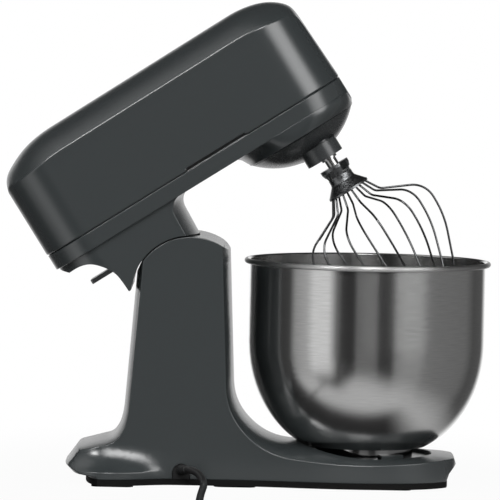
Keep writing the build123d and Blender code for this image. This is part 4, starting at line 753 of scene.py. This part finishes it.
ray = worktop.nodes.new("ShaderNodeLightPath")
camera_ray = ray.outputs["Is Camera Ray"]
mirror_ray = ray.outputs["Is Glossy Ray"]
spot = worktop.nodes.new("ShaderNodeTexCoord")
spot_parts = worktop.nodes.new("ShaderNodeSeparateXYZ")
worktop.links.new(spot.outputs["Object"], spot_parts.inputs["Vector"])
from_mixer = worktop.nodes.new("ShaderNodeVectorMath")
from_mixer.operation = "DISTANCE"
from_mixer.inputs[1].default_value = mixer_centre
worktop.links.new(spot.outputs["Object"], from_mixer.inputs[0])
distance = from_mixer.outputs["Value"]
forward = spot_parts.outputs["X"]
beside = math_step(worktop, "ABSOLUTE", spot_parts.outputs["Y"])
under_mixer = math_step(worktop, "MULTIPLY", fade_step(worktop, beside, *under_beside),
                        fade_step(worktop, forward, *under_forward))
left_of_bowl = math_step(worktop, "MULTIPLY", fade_step(worktop, forward, *left_forward),
                         fade_step(worktop, beside, *left_beside))
painted_shade_mask = math_step(worktop, "MAXIMUM", under_mixer, left_of_bowl)
whiter = fade_step(worktop, distance, white_near, white_far)
far_white = math_step(worktop, "MULTIPLY", whiter, 1 - least_white)
camera_share = math_step(worktop, "MULTIPLY", camera_ray, math_step(worktop, "ADD", far_white, least_white))
unseen = math_step(worktop, "MULTIPLY", fade_step(worktop, distance, mirrored_to, mirrored_none), mirror_ray)
# Painted reflection: mirror rays see the worktop as a glow of its own, dimmed by a painted shadow under the
# mixer and painted shade left of the bowl.
glow = worktop.nodes.new("ShaderNodeEmission")
painted_reflection_glow = worktop.nodes.new("ShaderNodeEmission")
darker = math_step(worktop, "MULTIPLY", painted_shade_mask, painted_shade_depth)
worktop.links.new(math_step(worktop, "SUBTRACT", mirrored_tone, darker), painted_reflection_glow.inputs["Strength"])
clear = worktop.nodes.new("ShaderNodeBsdfTransparent")
surface = mix_shaders(worktop, camera_share, worktop.nodes["Principled BSDF"].outputs["BSDF"],
                      glow.outputs["Emission"])
surface = mix_shaders(worktop, mirror_ray, surface, painted_reflection_glow.outputs["Emission"])
surface = mix_shaders(worktop, unseen, surface, clear.outputs["BSDF"])
worktop.links.new(surface, worktop.nodes["Material Output"].inputs["Surface"])
floor.data.materials.append(floor_white)

# Light: a white backdrop behind the mixer, walls of different greys round the rest, and soft boxes. A wall
# tone stands at its angle in degrees, 0 at the camera and rising to the right. A soft box has its angle, half
# width, height, half height and soft edge in degrees, then its strength.
studio = bpy.data.worlds.new("studio")
bpy.context.scene.world = studio
studio.use_nodes = True
sky = studio.node_tree
wall_tones = [(-180, 1.0), (-163, 1.0), (-146, 0.1), (-100, 0.05), (-82, 0.07), (-75, 0.42), (-62, 0.55),
              (-54, 0.9), (-39, 0.9), (-31, 0.17), (-25, 0.03), (-14, 0.03), (-10, 0.16), (7, 0.155),
              (12, 0.015), (23, 0.015), (29, 0.25), (38, 0.33), (52, 0.33), (62, 0.24), (112, 0.2),
              (127, 0.1), (150, 0.11), (166, 1.0), (180, 1.0)]
wall_height, wall_softness = 26.0, 8.0
backdrop_height, backdrop_softness = 13.0, 6.0
backdrop_off, backdrop_full = 125.0, 145.0
ceiling_level = 0.03
soft_boxes = {"front": (3.0, 9.0, 40.0, 15.0, 9.0, 11.5),
              "left": (-38.0, 8.0, 41.0, 8.0, 4.0, 18.0),
              "right": (42.0, 18.0, 24.0, 13.0, 8.0, 4.3),
              "behind_left": (-104.0, 34.0, 56.0, 18.0, 14.0, 0.66)}
direction = sky.nodes.new("ShaderNodeTexCoord")
parts = sky.nodes.new("ShaderNodeSeparateXYZ")
sky.links.new(direction.outputs["Generated"], parts.inputs["Vector"])
toward_camera = math_step(sky, "MULTIPLY", parts.outputs["Y"], -1.0)
azimuth = math_step(sky, "ARCTAN2", parts.outputs["X"], toward_camera)
azimuth = math_step(sky, "MULTIPLY", azimuth, 180 / math.pi)
elevation = math_step(sky, "MULTIPLY", math_step(sky, "ARCSINE", parts.outputs["Z"]), 180 / math.pi)
walls = sky.nodes.new("ShaderNodeValToRGB")
while len(walls.color_ramp.elements) > 1:
    walls.color_ramp.elements.remove(walls.color_ramp.elements[0])
for index, (degrees, tone) in enumerate(wall_tones):
    share = (degrees + 180) / 360
    stop = walls.color_ramp.elements[0] if index == 0 else walls.color_ramp.elements.new(share)
    stop.position = share
    stop.color = (tone, tone, tone, 1)
turn_share = math_step(sky, "DIVIDE", math_step(sky, "ADD", azimuth, 180.0), 360.0)
sky.links.new(turn_share, walls.inputs["Fac"])
behind = fade_step(sky, math_step(sky, "ABSOLUTE", azimuth), backdrop_off, backdrop_full)
lower = math_step(sky, "MULTIPLY", behind, wall_height - backdrop_height)
crisper = math_step(sky, "MULTIPLY", behind, wall_softness - backdrop_softness)
over_wall = math_step(sky, "SUBTRACT", elevation, math_step(sky, "SUBTRACT", wall_height, lower))
over_wall = math_step(sky, "DIVIDE", over_wall, math_step(sky, "SUBTRACT", wall_softness, crisper))
level = math_step(sky, "MULTIPLY", walls.outputs["Color"], fade_step(sky, over_wall, 1.0, -1.0))
level = math_step(sky, "MAXIMUM", level, ceiling_level)
for box, (middle, half_width, rise, half_height, softness, strength) in soft_boxes.items():
    aside = math_step(sky, "ABSOLUTE", math_step(sky, "SUBTRACT", azimuth, middle))
    above = math_step(sky, "ABSOLUTE", math_step(sky, "SUBTRACT", elevation, rise))
    mask = math_step(sky, "MULTIPLY", fade_step(sky, aside, half_width + softness, half_width - softness),
                     fade_step(sky, above, half_height + softness, half_height - softness))
    level = math_step(sky, "ADD", level, math_step(sky, "MULTIPLY", mask, strength))
    level.node.label = box + " soft box"
seen = sky.nodes.new("ShaderNodeLightPath")
backdrop = sky.nodes.new("ShaderNodeMix")
backdrop.data_type = "FLOAT"
backdrop.inputs["B"].default_value = 1.0
sky.links.new(seen.outputs["Is Camera Ray"], backdrop.inputs["Factor"])
sky.links.new(level, backdrop.inputs["A"])
sky.links.new(backdrop.outputs["Result"], sky.nodes["Background"].inputs["Strength"])
sky.nodes["Background"].inputs["Color"].default_value = (1, 1, 1, 1)
